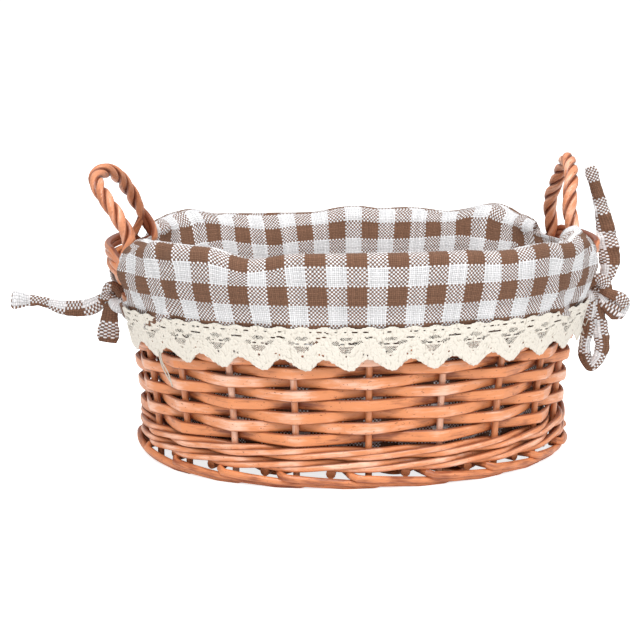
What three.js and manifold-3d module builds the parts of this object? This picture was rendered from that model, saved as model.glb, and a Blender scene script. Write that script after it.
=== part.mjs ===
// A small oval storage basket of willow, with a gingham liner folded over the rim, a lace edge, a roped
// handle at each end and a cloth tie under each handle.
// Millimetres. +Z is up, +X runs along the basket and -Y is its front. A station counts stakes round the wall
// from the middle of the front towards +X; "out" is the distance outside the stakes' own oval.
import * as THREE from "three";
import { mergeVertices } from "three/addons/utils/BufferGeometryUtils.js";
import Module from "manifold-3d";

// Driving dimensions
const GAP = 0.3; // between pieces that touch
const FOOT_HALF_LENGTH = 126;
const FOOT_HALF_WIDTH = 95.8;
const RIM_HALF_LENGTH = 143.5;
const RIM_HALF_WIDTH = 103.8;
const RIM_HEIGHT = 118.6; // centre of the topmost border rod
const OVAL_POWER = 2.12; // 2 is an ellipse, more is squarer
const FLARE_POWER = 2.3; // how late the wall leans out

const STAKES = 20;
const STAKE_TURN = 0.302; // radians round the oval from stake to stake, but for the ones at the ends
const STAKE_RADIUS = 1.9;
const BORDER_RADIUS = 1.8; // a stake's thinner top, which is laid down as the border

const RANDING_ROWS = 13;
const OPEN_ROWS = 7; // rows below the lace, which show
const WEAVER_THICKNESS = 2.9;

const WALE_ROUNDS = 2;
const WALE_RADIUS = 1.5;
const WALE_JOIN = 10; // station of the step between the rounds, at the back
const WALE_PLAY = 0.15; // between the rods where they cross

const FOOT_ROD_RADIUS = 2.1; // at the thick end
const FOOT_TIP_RADIUS = 1.5;
const FOOT_FLAT = 0.3; // depth that the foot rods are worn flat where they stand

const CROSS_STICK_RADIUS = 2.8;
const LONG_STICK_RADIUS = 1.7;
const BASE_WEAVER_WIDTH = 6.8;
const BASE_WEAVER_PITCH = 8.2;
const BASE_WEAVER_THICKNESS = 2.2;
const BASE_TURNS = 3.6;
const BASE_EDGE = 14; // from the stakes in to the outermost base weaver

const STRAND_RADIUS = 1.85;
const ROPE_LAY = 28; // length of one full twist
// The middle of each handle's rope above the wall, from front to back: out along X, Y and Z
const LEFT_ARCH = [
  [132, -42, 134],
  [138, -39, 146],
  [149, -27, 161],
  [152, -16, 166],
  [149, -2, 169],
  [143, 12, 166],
  [138, 26, 157],
  [133, 37, 144],
];
const RIGHT_ARCH = [
  [127, -42.5, 132],
  [124, -39.5, 144],
  [125, -33, 155],
  [128, -23, 165],
  [130, -10, 171],
  [131, 1, 173],
  [131.5, 13, 168],
  [131, 26, 157],
  [130, 37, 144],
];

const CLOTH_THICKNESS = 1.6;
const FOLD_HEIGHT = 8.5; // of the liner's fold above the border
const CUFF_HEM = 84; // height of the cuff's lower edge
const SLIT_FLOOR = 101; // height of the bottom of the slit under each handle
const SLIT_BESIDE_LEG = 0.24; // stations from a handle's leg to the slit's edge

const LACE_TOP = 95;
const LACE_POINT = 67;
const LACE_SCALLOP = 9; // depth of the points
const LACE_PITCH = 24;
const LACE_THICKNESS = 1;

const TIE_KNOT_RADIUS = 6;
const TIE_KNOT_HEIGHT = 94;
const TIE_THICKNESS = 2.4;
const TAIL_WIDTH = 11;

// Heights and reaches that follow from them
const TIP_HEIGHT = FOOT_TIP_RADIUS * Math.cos(Math.PI / 5) - FOOT_FLAT;
const STAKE_FOOT = TIP_HEIGHT + FOOT_TIP_RADIUS + 2 * GAP;
const ROD_STEP_OUT = 2.5; // each foot rod lies this much further out than the one it covers
const MID_ROD_RADIUS = (FOOT_ROD_RADIUS + FOOT_TIP_RADIUS) / 2;
const MID_ROD_OUT = STAKE_RADIUS + GAP + MID_ROD_RADIUS + 0.2;
const MID_ROD_HEIGHT = TIP_HEIGHT + stepUp(MID_ROD_RADIUS + FOOT_TIP_RADIUS + GAP, ROD_STEP_OUT) + 0.2;
const TOP_ROD_HEIGHT = MID_ROD_HEIGHT + stepUp(FOOT_ROD_RADIUS + MID_ROD_RADIUS + GAP, ROD_STEP_OUT) + 0.2;
const CROSSING_HEIGHT = MID_ROD_HEIGHT + FOOT_ROD_RADIUS + MID_ROD_RADIUS + 2.4 * GAP;
const WALE_FLOOR = CROSSING_HEIGHT + FOOT_ROD_RADIUS + GAP;
const WALE_STEP = 2 * WALE_RADIUS + GAP;
const WALE_PITCH = 2 * WALE_STEP + 0.4;
const WALE_LEVEL = WALE_FLOOR + WALE_RADIUS + WALE_STEP / 2 + WALE_PLAY;
const WALE_TOP = WALE_LEVEL + WALE_PITCH * (WALE_ROUNDS - 1) + WALE_STEP / 2 + WALE_PLAY + WALE_RADIUS;
const BORDER_STEP = 2 * BORDER_RADIUS + GAP;
const BORDER_OUT = STAKE_RADIUS + GAP + BORDER_RADIUS + 0.35;
const BORDER_DROP = 1.84 * BORDER_STEP;
const RANDING_FLOOR = WALE_TOP + GAP;
const RANDING_CEILING = RIM_HEIGHT - BORDER_DROP - BORDER_RADIUS - 3 * GAP;
const RANDING_PITCH = (RANDING_CEILING - RANDING_FLOOR) / RANDING_ROWS;
const WEAVER_HEIGHT = RANDING_PITCH - GAP;
const WEAVER_OUT = STAKE_RADIUS + GAP + WEAVER_THICKNESS / 2 + 0.45;
const WEAVER_SWELL = (1.6 * GAP * WEAVER_OUT) / WEAVER_THICKNESS; // extra height over a stake
const BASE_LEVEL = WALE_FLOOR - GAP - CROSS_STICK_RADIUS;
const BASE_PLAY = 1.3; // between a base weaver and a stick, where it bends over it
const BASE_WAVE = CROSS_STICK_RADIUS + BASE_WEAVER_THICKNESS / 2 + GAP + BASE_PLAY;
const BORDER_TOP = RIM_HEIGHT + BORDER_RADIUS;
const CLOTH_OUT = BORDER_OUT + BORDER_RADIUS + 2 * GAP + CLOTH_THICKNESS / 2; // of the liner, inside and outside
const HANDLE_LEG_OUT = BORDER_OUT + BORDER_RADIUS + 2 * GAP + STRAND_RADIUS; // of the strand outside the border
const BAG_FLOOR = BASE_LEVEL + BASE_WAVE + BASE_WEAVER_THICKNESS / 2 + GAP + CLOTH_THICKNESS / 2;

const willow = new THREE.MeshStandardMaterial({ color: 0xb5682f, roughness: 0.45 });
const splitWillow = new THREE.MeshStandardMaterial({ color: 0xc47a3c, roughness: 0.5 });
const gingham = new THREE.MeshStandardMaterial({ color: 0x9a8577, roughness: 0.9 });
const lace = new THREE.MeshStandardMaterial({ color: 0xe8dfcb, roughness: 0.9 });

// The height between two touching rods whose centres are reach apart and that lie sideways apart.
function stepUp(reach, sideways) {
  return Math.sqrt(Math.max(reach * reach - sideways * sideways, 0.01));
}

// The angle round the oval of a station. The stakes at the two ends stand on the long axis.
function angleAt(station) {
  const half = STAKES / 2;
  const turns = Math.floor(station / half);
  const along = station - turns * half;
  const quarter = Math.min(along, half - along);
  const last = half / 2 - 1;
  const beyond = Math.max(quarter - last, 0);
  const angle = Math.min(quarter, last) * STAKE_TURN + beyond * (Math.PI / 2 - last * STAKE_TURN);
  return turns * Math.PI + (along <= half / 2 ? angle : Math.PI - angle);
}

function powered(value, power) {
  return Math.sign(value) * Math.abs(value) ** power;
}

// A point of an oval and the oval's outward direction there.
function ovalPoint(halfLength, halfWidth, station, height) {
  const angle = angleAt(station);
  const sine = Math.sin(angle);
  const cosine = Math.cos(angle);
  const x = powered(sine, 2 / OVAL_POWER);
  const y = -powered(cosine, 2 / OVAL_POWER);
  const outward = new THREE.Vector3(
    powered(x, OVAL_POWER - 1) / halfLength,
    powered(y, OVAL_POWER - 1) / halfWidth,
    0,
  ).normalize();
  return { point: new THREE.Vector3(halfLength * x, halfWidth * y, height), outward };
}

// The stakes' oval at a height.
function wallOval(station, height) {
  const share = Math.max(height / RIM_HEIGHT, 0) ** FLARE_POWER;
  const halfLength = FOOT_HALF_LENGTH + (RIM_HALF_LENGTH - FOOT_HALF_LENGTH) * share;
  const halfWidth = FOOT_HALF_WIDTH + (RIM_HALF_WIDTH - FOOT_HALF_WIDTH) * share;
  return ovalPoint(halfLength, halfWidth, station, height);
}

// A point level with the stakes' oval and out from it, with how far the wall leans out in a millimetre of height.
function onWall(station, out, height) {
  const { point, outward } = wallOval(station, height);
  const lean = wallOval(station, height + 1).point.sub(point).dot(outward);
  return { point: point.addScaledVector(outward, out), outward, lean };
}

// A round rod's section. One of its flats faces down where the rod runs level.
function polygon(radius, sides) {
  return Array.from({ length: sides }, (_, i) => {
    const angle = (2 * Math.PI * (i + 0.5)) / sides - Math.PI / 2;
    return [radius * Math.cos(angle), radius * Math.sin(angle)];
  });
}

// A flat strip's section, with its faces leaning as the wall does.
function rectangle(thickness, height, lean = 0) {
  const shift = (lean * height) / 2;
  return [
    [thickness / 2 + shift, height / 2],
    [-thickness / 2 + shift, height / 2],
    [-thickness / 2 - shift, -height / 2],
    [thickness / 2 - shift, -height / 2],
  ];
}

// A closed solid from a list of rings, each a place {point, outward} with a convex section in it.
function sweep(places, sectionAt, closed = false) {
  const count = places.length;
  const positions = [];
  const sides = sectionAt(0).length;
  places.forEach(({ point, outward }, i) => {
    const before = places[closed ? (i + count - 1) % count : Math.max(i - 1, 0)].point;
    const after = places[closed ? (i + 1) % count : Math.min(i + 1, count - 1)].point;
    const along = after.clone().sub(before).normalize();
    const first = outward.clone().addScaledVector(along, -outward.dot(along)).normalize();
    const second = first.clone().cross(along);
    for (const [u, v] of sectionAt(i)) {
      const corner = point.clone().addScaledVector(first, u).addScaledVector(second, v);
      positions.push(corner.x, corner.y, corner.z);
    }
  });
  const faces = [];
  for (let i = 0; i < (closed ? count : count - 1); i++) {
    for (let j = 0; j < sides; j++) {
      const a = i * sides + j;
      const b = i * sides + ((j + 1) % sides);
      const c = ((i + 1) % count) * sides + j;
      const d = ((i + 1) % count) * sides + ((j + 1) % sides);
      faces.push(a, b, d, a, d, c);
    }
  }
  if (!closed) {
    const end = (count - 1) * sides;
    for (let j = 1; j < sides - 1; j++) faces.push(0, j + 1, j, end, end + j, end + j + 1);
  }
  return solid(positions, faces);
}

// A geometry from corners and faces, turned so that its faces point out.
function solid(positions, faces) {
  let volume = 0;
  const corner = (i) => new THREE.Vector3().fromArray(positions, 3 * i);
  for (let i = 0; i < faces.length; i += 3) {
    volume += corner(faces[i]).dot(corner(faces[i + 1]).cross(corner(faces[i + 2])));
  }
  if (volume < 0) {
    for (let i = 0; i < faces.length; i += 3) [faces[i + 1], faces[i + 2]] = [faces[i + 2], faces[i + 1]];
  }
  const geometry = new THREE.BufferGeometry();
  geometry.setAttribute("position", new THREE.Float32BufferAttribute(positions, 3));
  geometry.setIndex(faces);
  return geometry;
}

// Joins and cuts
const wasm = await Module();
wasm.setup();

function toManifold(geometry) {
  const bare = geometry.clone();
  bare.deleteAttribute("normal");
  bare.deleteAttribute("uv");
  const merged = mergeVertices(bare, 1e-4);
  return new wasm.Manifold(
    new wasm.Mesh({
      numProp: 3,
      vertProperties: new Float32Array(merged.attributes.position.array),
      triVerts: new Uint32Array(merged.index.array),
    }),
  );
}

function toGeometry(manifold) {
  const mesh = manifold.getMesh();
  const geometry = new THREE.BufferGeometry();
  geometry.setAttribute("position", new THREE.BufferAttribute(new Float32Array(mesh.vertProperties), 3));
  geometry.setIndex(new THREE.BufferAttribute(new Uint32Array(mesh.triVerts), 1));
  return geometry;
}

function joined(geometries) {
  return toGeometry(geometries.map(toManifold).reduce((sum, piece) => sum.add(piece)));
}

function cut(geometry, cutters) {
  return toGeometry(cutters.map(toManifold).reduce((rest, cutter) => rest.subtract(cutter), toManifold(geometry)));
}

function box(lowX, highX, lowY, highY, lowZ, highZ) {
  const geometry = new THREE.BoxGeometry(highX - lowX, highY - lowY, highZ - lowZ);
  return geometry.translate((lowX + highX) / 2, (lowY + highY) / 2, (lowZ + highZ) / 2);
}

const basket = new THREE.Group();

function addPiece(parent, name, geometry, material) {
  const mesh = new THREE.Mesh(geometry, material);
  mesh.name = name;
  parent.add(mesh);
}

function number(index) {
  return String(index).padStart(2, "0");
}

// Stakes: upright to the rim, then each is laid down as border, in front of two and in behind the third
function stake(index) {
  const uprightHeights = [0, 0.35, 0.65, 0.85, 1];
  const turnHeight = RIM_HEIGHT - 1.6 * BORDER_RADIUS;
  const upright = uprightHeights.map((share) => [0, 0, STAKE_FOOT + share * (turnHeight - STAKE_FOOT)]);
  const slope = 1.05 * BORDER_STEP;
  const border = [
    [0.06, 0.4, RIM_HEIGHT - 0.35],
    [0.25, 0.3 * BORDER_OUT, RIM_HEIGHT],
    [0.5, 0.62 * BORDER_OUT, RIM_HEIGHT - 0.08 * slope],
    [1, BORDER_OUT, RIM_HEIGHT - 0.55 * slope],
    [1.5, BORDER_OUT, RIM_HEIGHT - 1.05 * slope],
    [2, BORDER_OUT, RIM_HEIGHT - 1.55 * slope],
    [2.25, 0.9 * BORDER_OUT, RIM_HEIGHT - BORDER_DROP],
    [2.5, 0.1 * BORDER_OUT, RIM_HEIGHT - BORDER_DROP],
    [2.75, -0.8 * BORDER_OUT, RIM_HEIGHT - BORDER_DROP],
    [3.1, -BORDER_OUT, RIM_HEIGHT - BORDER_DROP],
  ];
  const places = [...upright, ...border].map(([run, out, height]) => onWall(index + run, out, height));
  const sectionAt = (i) => polygon(i < upright.length ? STAKE_RADIUS : BORDER_RADIUS, 5);
  return sweep(places, sectionAt);
}

const stakes = new THREE.Group();
for (let i = 0; i < STAKES; i++) addPiece(stakes, "stake_" + number(i + 1), stake(i), willow);
basket.add(stakes);

// Randing: each row goes in front of one stake and behind the next, and the next row the other way
function randingRow(row) {
  const shows = row < OPEN_ROWS;
  const height = RANDING_FLOOR + (row + 0.5) * RANDING_PITCH;
  const places = [];
  const heights = [];
  for (let i = 0; i < STAKES; i++) {
    const inFront = (i + row) % 2 === 1;
    const chordSag = shows ? 0 : 0.25;
    places.push(onWall(i, inFront ? WEAVER_OUT + chordSag : -WEAVER_OUT, height));
    heights.push(WEAVER_HEIGHT + (shows ? WEAVER_SWELL : 0));
    if (shows) {
      places.push(onWall(i + 0.5, 0, height));
      heights.push(WEAVER_HEIGHT);
    }
  }
  return sweep(places, (i) => rectangle(WEAVER_THICKNESS, heights[i], places[i].lean), true);
}

const randing = new THREE.Group();
for (let row = 0; row < RANDING_ROWS; row++) {
  addPiece(randing, "randing_row_" + number(row + 1), randingRow(row), splitWillow);
}
basket.add(randing);

// Wale: three rods, each in front of two stakes and behind the third, wound twice round the wall
function waleRod(index) {
  const side = STAKE_RADIUS + GAP + WALE_RADIUS + 0.2;
  const half = WALE_STEP / 2;
  const pattern = [
    [-side, 0],
    [0, -half - WALE_PLAY],
    [side, -half],
    [side, 0],
    [side, half],
    [0, half + WALE_PLAY],
  ];
  const start = 1 + index;
  const end = STAKES * WALE_ROUNDS - 3 + index;
  const places = [];
  for (let run = start; run <= end; run += 0.5) {
    const [out, rise] = pattern[Math.round(2 * (run - index)) % 6];
    const round = THREE.MathUtils.clamp(run - STAKES + 0.5, 0, 1);
    places.push(onWall(WALE_JOIN + run, out, WALE_LEVEL + rise + round * WALE_PITCH));
  }
  return sweep(places, () => polygon(WALE_RADIUS, 5));
}

const wale = new THREE.Group();
for (let i = 0; i < 3; i++) addPiece(wale, "wale_rod_" + (i + 1), waleRod(i), willow);
basket.add(wale);

// Foot border: short rods, thick end up, each over the next two, its tip under the second rod after it
function footRod(index) {
  const farOut = MID_ROD_OUT + ROD_STEP_OUT;
  const nearOut = MID_ROD_OUT - ROD_STEP_OUT;
  const knots = [
    [-0.3, -7, CROSSING_HEIGHT - 0.3],
    [-0.26, -1, CROSSING_HEIGHT],
    [-0.22, MID_ROD_OUT, CROSSING_HEIGHT],
    [-0.14, farOut, TOP_ROD_HEIGHT + 0.5],
    [0, farOut, TOP_ROD_HEIGHT],
    [0.5, (farOut + MID_ROD_OUT) / 2, (TOP_ROD_HEIGHT + MID_ROD_HEIGHT) / 2],
    [1, MID_ROD_OUT, MID_ROD_HEIGHT],
    [1.5, (MID_ROD_OUT + nearOut) / 2, (MID_ROD_HEIGHT + TIP_HEIGHT) / 2],
    [1.85, nearOut + 0.3, TIP_HEIGHT],
    [2, nearOut, TIP_HEIGHT],
    [2.12, nearOut + 1, TIP_HEIGHT + 1.3],
  ];
  const places = knots.map(([run, out, height]) => onWall(index + run, out, height));
  const taper = (run) => THREE.MathUtils.mapLinear(Math.max(run, 0), 0, 2, FOOT_ROD_RADIUS, FOOT_TIP_RADIUS);
  return sweep(places, (i) => polygon(taper(knots[i][0]), 5));
}

function footBorder() {
  const rods = Array.from({ length: STAKES }, (_, i) => footRod(i));
  const reach = 2 * FOOT_HALF_LENGTH;
  return cut(joined(rods), [box(-reach, reach, -reach, reach, -reach, 0)]);
}

addPiece(basket, "foot_border", footBorder(), willow);

// Base: six cross sticks, slit to let four long sticks through, and two weavers wound out round their ends
const SLATH_HALF_LENGTH = 50;
const SLATH_HALF_WIDTH = 13;
const SLIT_HALF_WIDTH = 9;

// The inner and outer end of half a base stick. A long stick keeps to its lane in the middle.
function baseStickHalf(station) {
  const inner = ovalPoint(SLATH_HALF_LENGTH, SLATH_HALF_WIDTH, station, BASE_LEVEL).point;
  if (isLong(station)) {
    const lane = Math.abs(quarterStation(station) - 4.5) < 0.1 ? 1 : 3;
    inner.y = (Math.sign(inner.y) * lane * (2 * LONG_STICK_RADIUS + GAP)) / 2;
  }
  return [inner, onWall(station, 0, BASE_LEVEL).point];
}

// Stations from the nearer long side's middle.
function quarterStation(station) {
  const inHalf = THREE.MathUtils.euclideanModulo(station, STAKES / 2);
  return Math.min(inHalf, STAKES / 2 - inHalf);
}

function isLong(station) {
  return quarterStation(station) > 3;
}

function baseStick(points, radius) {
  const up = new THREE.Vector3(0, 0, 1);
  return sweep(
    points.map((point) => ({ point, outward: up })),
    () => polygon(radius, 6),
  );
}

function crossStick(station) {
  const [frontInner, frontEnd] = baseStickHalf(station);
  const [backInner, backEnd] = baseStickHalf(STAKES / 2 - station);
  const through = CROSS_STICK_RADIUS + 1;
  const halfHeight = LONG_STICK_RADIUS + GAP;
  const slit = box(frontInner.x - through, frontInner.x + through, -SLIT_HALF_WIDTH, SLIT_HALF_WIDTH,
    BASE_LEVEL - halfHeight, BASE_LEVEL + halfHeight);
  return cut(baseStick([frontEnd, frontInner, backInner, backEnd], CROSS_STICK_RADIUS), [slit]);
}

function longStick(station) {
  const [rightInner, rightEnd] = baseStickHalf(station);
  const [leftInner, leftEnd] = baseStickHalf(2 * STAKES - station);
  return baseStick([leftEnd, leftInner, rightInner, rightEnd], LONG_STICK_RADIUS);
}

// A weaver crosses over one stick and under the next, further in at each.
function baseWeaver(phase) {
  const steps = Math.round(BASE_TURNS * STAKES);
  const places = [];
  for (let step = 0; step <= steps; step++) {
    const station = step + (phase * STAKES) / 2 + 0.5;
    const edge = BASE_EDGE + (2 * BASE_WEAVER_PITCH * step) / STAKES;
    const [inner, end] = baseStickHalf(station);
    const point = end.clone().lerp(inner, edge / (FOOT_HALF_WIDTH - SLATH_HALF_WIDTH));
    const radius = isLong(station) ? LONG_STICK_RADIUS : CROSS_STICK_RADIUS;
    point.z += ((step + phase) % 2 === 0 ? 1 : -1) * (radius + BASE_WEAVER_THICKNESS / 2 + GAP + BASE_PLAY);
    places.push({ point, outward: wallOval(station, 0).outward });
  }
  return sweep(places, () => rectangle(BASE_WEAVER_WIDTH, BASE_WEAVER_THICKNESS));
}

const base = new THREE.Group();
[-2.5, -1.5, -0.5, 0.5, 1.5, 2.5].forEach((station, i) => {
  addPiece(base, "base_cross_stick_" + (i + 1), crossStick(station), willow);
});
[3.5, 4.5, 5.5, 6.5].forEach((station, i) => {
  addPiece(base, "base_long_stick_" + (i + 1), longStick(station), willow);
});
for (let i = 0; i < 2; i++) addPiece(base, "base_weaver_" + (i + 1), baseWeaver(i), splitWillow);
basket.add(base);

// Handles: three strands laid as a rope. One strand goes down outside the border at each leg.
const HANDLE_STATION = 3.85; // just beside the last stake but one before each end
const HANDLE_LEG_FOOT = RIM_HEIGHT - 7;
const ROPE_STEPS = 7; // in one turn
const ROPE_OPENING = 1.27; // just over 2 / sqrt(3), as each strand's section lies slanted in the rope

function handleCurve(side, arch) {
  const root = onWall(HANDLE_STATION, 0.5, BORDER_TOP + GAP + 0.8).point;
  const points = [[root.x, root.y, root.z], ...arch, [root.x, -root.y, root.z]];
  return new THREE.CatmullRomCurve3(points.map(([out, y, z]) => new THREE.Vector3(side * out, y, z)));
}

function strand(curve, index, side) {
  const turns = Math.round(curve.getLength() / ROPE_LAY);
  const steps = turns * ROPE_STEPS;
  const offset = (STRAND_RADIUS + GAP / 2) * ROPE_OPENING;
  const places = [];
  for (let step = 0; step <= steps; step++) {
    const share = step / steps;
    const centre = curve.getPointAt(share);
    const direction = curve.getTangentAt(share);
    const first = new THREE.Vector3(side, 0, 0).addScaledVector(direction, -side * direction.x).normalize();
    const second = direction.clone().cross(first);
    const angle = 2 * Math.PI * (turns * share + index / 3);
    const outward = first.multiplyScalar(Math.cos(angle)).addScaledVector(second, Math.sin(angle));
    places.push({ point: centre.clone().addScaledVector(outward, offset), outward });
  }
  if (index === 0) {
    const down = [
      [HANDLE_LEG_OUT, HANDLE_LEG_FOOT],
      [HANDLE_LEG_OUT, RIM_HEIGHT - 2.5],
      [HANDLE_LEG_OUT - 2.2, BORDER_TOP + 1],
    ];
    const leg = (station) => down.map(([out, height]) => onWall(station, out, height));
    places.unshift(...leg(side * HANDLE_STATION));
    places.push(...leg(STAKES / 2 - side * HANDLE_STATION).reverse());
  }
  return sweep(places, () => polygon(STRAND_RADIUS, 5));
}

const handles = new THREE.Group();
const handleKinds = [
  { name: "handle_left", side: -1, arch: LEFT_ARCH },
  { name: "handle_right", side: 1, arch: RIGHT_ARCH },
];
for (const { name, side, arch } of handleKinds) {
  const curve = handleCurve(side, arch);
  for (let i = 0; i < 3; i++) addPiece(handles, name + "_strand_" + (i + 1), strand(curve, i, side), willow);
}
basket.add(handles);

// Liner: a bag inside the wall, folded over the border and hanging outside as a cuff
const LINER_COLUMNS = 42;

function linerProfile(station) {
  const turn = (2 * Math.PI * station) / STAKES;
  const lift = 1.6 * Math.sin(5 * turn + 0.6) + 1.2 * Math.sin(8 * turn + 2);
  const puff = 0.8 + 0.8 * Math.sin(7 * turn + 1);
  const crest = BORDER_TOP + FOLD_HEIGHT + lift;
  return [
    [-CLOTH_OUT - 10, BAG_FLOOR],
    [-CLOTH_OUT - 2.5, BAG_FLOOR + 2.5],
    [-CLOTH_OUT, BAG_FLOOR + 10],
    [-CLOTH_OUT, 0.42 * RIM_HEIGHT],
    [-CLOTH_OUT, 0.72 * RIM_HEIGHT],
    [-CLOTH_OUT - 0.5, RIM_HEIGHT],
    [-0.6 * CLOTH_OUT, crest - 2.5],
    [0, crest],
    [0.65 * CLOTH_OUT, crest - 0.6],
    [CLOTH_OUT + puff, crest - 4.5],
    [CLOTH_OUT + 0.4 + puff, BORDER_TOP - 4],
    [CLOTH_OUT, LACE_TOP + 2],
    [CLOTH_OUT, CUFF_HEM],
  ];
}

// The profile moved half the cloth's thickness to one side of its line.
function profileSkin(profile, side) {
  return profile.map(([out, height], i) => {
    const [lowOut, low] = profile[Math.max(i - 1, 0)];
    const [highOut, high] = profile[Math.min(i + 1, profile.length - 1)];
    const length = Math.hypot(highOut - lowOut, high - low);
    const shift = (side * CLOTH_THICKNESS) / 2 / length;
    return [out - shift * (high - low), height + shift * (highOut - lowOut)];
  });
}

function linerShell() {
  const positions = [0, 0, BAG_FLOOR + CLOTH_THICKNESS / 2, 0, 0, BAG_FLOOR - CLOTH_THICKNESS / 2];
  const faces = [];
  let rings = 0;
  for (let column = 0; column < LINER_COLUMNS; column++) {
    const station = (STAKES * column) / LINER_COLUMNS;
    const profile = linerProfile(station);
    const loop = [...profileSkin(profile, 1), ...profileSkin(profile, -1).reverse()];
    rings = loop.length;
    for (const [out, height] of loop) positions.push(...onWall(station, out, height).point.toArray());
  }
  const at = (column, ring) => 2 + (column % LINER_COLUMNS) * rings + ring;
  for (let column = 0; column < LINER_COLUMNS; column++) {
    faces.push(0, at(column, 0), at(column + 1, 0));
    faces.push(1, at(column + 1, rings - 1), at(column, rings - 1));
    for (let ring = 0; ring < rings - 1; ring++) {
      faces.push(at(column, ring), at(column, ring + 1), at(column + 1, ring + 1));
      faces.push(at(column, ring), at(column + 1, ring + 1), at(column + 1, ring));
    }
  }
  return solid(positions, faces);
}

// A block bent along the wall, from one distance out to another, with a floor that falls to its middle station.
function wallBlock(stations, lowOut, highOut, floorAt, top) {
  const positions = [];
  for (const station of stations) {
    const floor = floorAt(station);
    const corners = [[lowOut, floor], [highOut, floor], [highOut, top], [lowOut, top]];
    for (const [out, height] of corners) positions.push(...onWall(station, out, height).point.toArray());
  }
  const faces = [0, 1, 2, 0, 2, 3];
  const last = 4 * (stations.length - 1);
  faces.push(last, last + 2, last + 1, last, last + 3, last + 2);
  for (let i = 0; i < last; i += 4) {
    for (let j = 0; j < 4; j++) {
      const next = (j + 1) % 4;
      faces.push(i + j, i + 4 + j, i + 4 + next, i + j, i + 4 + next, i + next);
    }
  }
  return solid(positions, faces);
}

// The slit at one end, through which the handle and the border show. The bag behind it stays whole up to the rim.
function slit(side) {
  const middle = (side * STAKES) / 4;
  const reach = STAKES / 4 - HANDLE_STATION + SLIT_BESIDE_LEG;
  const stations = [-1, -0.75, -0.5, -0.25, 0, 0.25, 0.5, 0.75, 1].map((share) => middle + share * reach);
  const floorAt = (station) => {
    return THREE.MathUtils.mapLinear(Math.abs(station - middle), 0, reach, SLIT_FLOOR, HANDLE_LEG_FOOT - 1);
  };
  const beyond = 40;
  const top = BORDER_TOP + beyond;
  const bagSide = -CLOTH_OUT + CLOTH_THICKNESS / 2 + 2 * GAP;
  return joined([
    wallBlock(stations, bagSide, beyond, floorAt, top),
    wallBlock(stations, -beyond, beyond, () => RIM_HEIGHT, top),
  ]);
}

addPiece(basket, "liner", cut(linerShell(), [slit(1), slit(-1)]), gingham);

// A closed solid from a grid of places, thick across their outward directions.
function sheet(rows, thickness) {
  const columns = rows[0].length;
  const positions = [];
  for (const side of [0.5, -0.5]) {
    for (const row of rows) {
      for (const { point, outward } of row) {
        positions.push(...point.clone().addScaledVector(outward, side * thickness).toArray());
      }
    }
  }
  const back = rows.length * columns;
  const at = (row, column) => row * columns + column;
  const faces = [];
  for (let row = 0; row < rows.length - 1; row++) {
    for (let column = 0; column < columns - 1; column++) {
      const [a, b] = [at(row, column), at(row, column + 1)];
      const [c, d] = [at(row + 1, column), at(row + 1, column + 1)];
      faces.push(a, b, d, a, d, c, back + a, back + d, back + b, back + a, back + c, back + d);
    }
  }
  const rim = [];
  for (let column = 0; column < columns - 1; column++) rim.push(at(0, column));
  for (let row = 0; row < rows.length - 1; row++) rim.push(at(row, columns - 1));
  for (let column = columns - 1; column > 0; column--) rim.push(at(rows.length - 1, column));
  for (let row = rows.length - 1; row > 0; row--) rim.push(at(row, 0));
  rim.forEach((a, i) => {
    const b = rim[(i + 1) % rim.length];
    faces.push(a, back + a, back + b, a, back + b, b);
  });
  return solid(positions, faces);
}

// Lace: one length along each half of the cuff, from tie to tie, with a pointed lower edge
const LACE_OUT = CLOTH_OUT + CLOTH_THICKNESS / 2 + GAP + LACE_THICKNESS / 2 + 0.3;
const LACE_END = 0.42; // stations from each end of the oval to the end of the lace

// Stations evenly spaced along the wall, from one station to another.
function evenStations(from, to, count, height) {
  const fine = 400;
  const lengths = [0];
  const at = (i) => from + ((to - from) * i) / fine;
  for (let i = 1; i <= fine; i++) {
    const step = onWall(at(i), LACE_OUT, height).point.distanceTo(onWall(at(i - 1), LACE_OUT, height).point);
    lengths.push(lengths[i - 1] + step);
  }
  const total = lengths[fine];
  const steps = count(total);
  const stations = Array.from({ length: steps + 1 }, (_, i) => {
    const reached = lengths.findIndex((length) => length >= (total * i) / steps - 1e-9);
    return at(reached);
  });
  return stations;
}

function laceLength(middle) {
  const perMotif = 4;
  const reach = STAKES / 4 - LACE_END;
  const columnsFor = (length) => perMotif * Math.round(length / LACE_PITCH);
  const stations = evenStations(middle - reach, middle + reach, columnsFor, LACE_POINT);
  const rowAt = (heightAt, out) =>
    stations.map((station, column) => {
      const place = onWall(station, out, heightAt(column));
      return { point: place.point, outward: place.outward };
    });
  const scallop = [0, 0.6, 1, 0.6];
  const edgeAt = (column) => LACE_POINT + LACE_SCALLOP * (1 - scallop[column % perMotif]);
  const rows = [
    rowAt(() => LACE_TOP, LACE_OUT),
    rowAt(() => CUFF_HEM - 1, LACE_OUT),
    rowAt(edgeAt, LACE_OUT - 0.8),
  ];
  return sheet(rows, LACE_THICKNESS);
}

addPiece(basket, "lace_front", laceLength(0), lace);
addPiece(basket, "lace_back", laceLength(STAKES / 2), lace);

// Ties: a knot under each handle, with a tail and a short end on the left, a tail and loops on the right
function ribbon(points, widths, across) {
  const curve = new THREE.CatmullRomCurve3(points);
  const steps = 2 * (points.length - 1);
  const left = [];
  const right = [];
  for (let step = 0; step <= steps; step++) {
    const share = step / steps;
    const low = Math.min(Math.floor(share * (widths.length - 1)), widths.length - 2);
    const half = THREE.MathUtils.lerp(widths[low], widths[low + 1], share * (widths.length - 1) - low) / 2;
    const point = curve.getPoint(share);
    const outward = curve.getTangent(share).cross(across).normalize();
    left.push({ point: point.clone().addScaledVector(across, half), outward });
    right.push({ point: point.clone().addScaledVector(across, -half), outward });
  }
  return sheet([left, right], TIE_THICKNESS);
}

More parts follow.
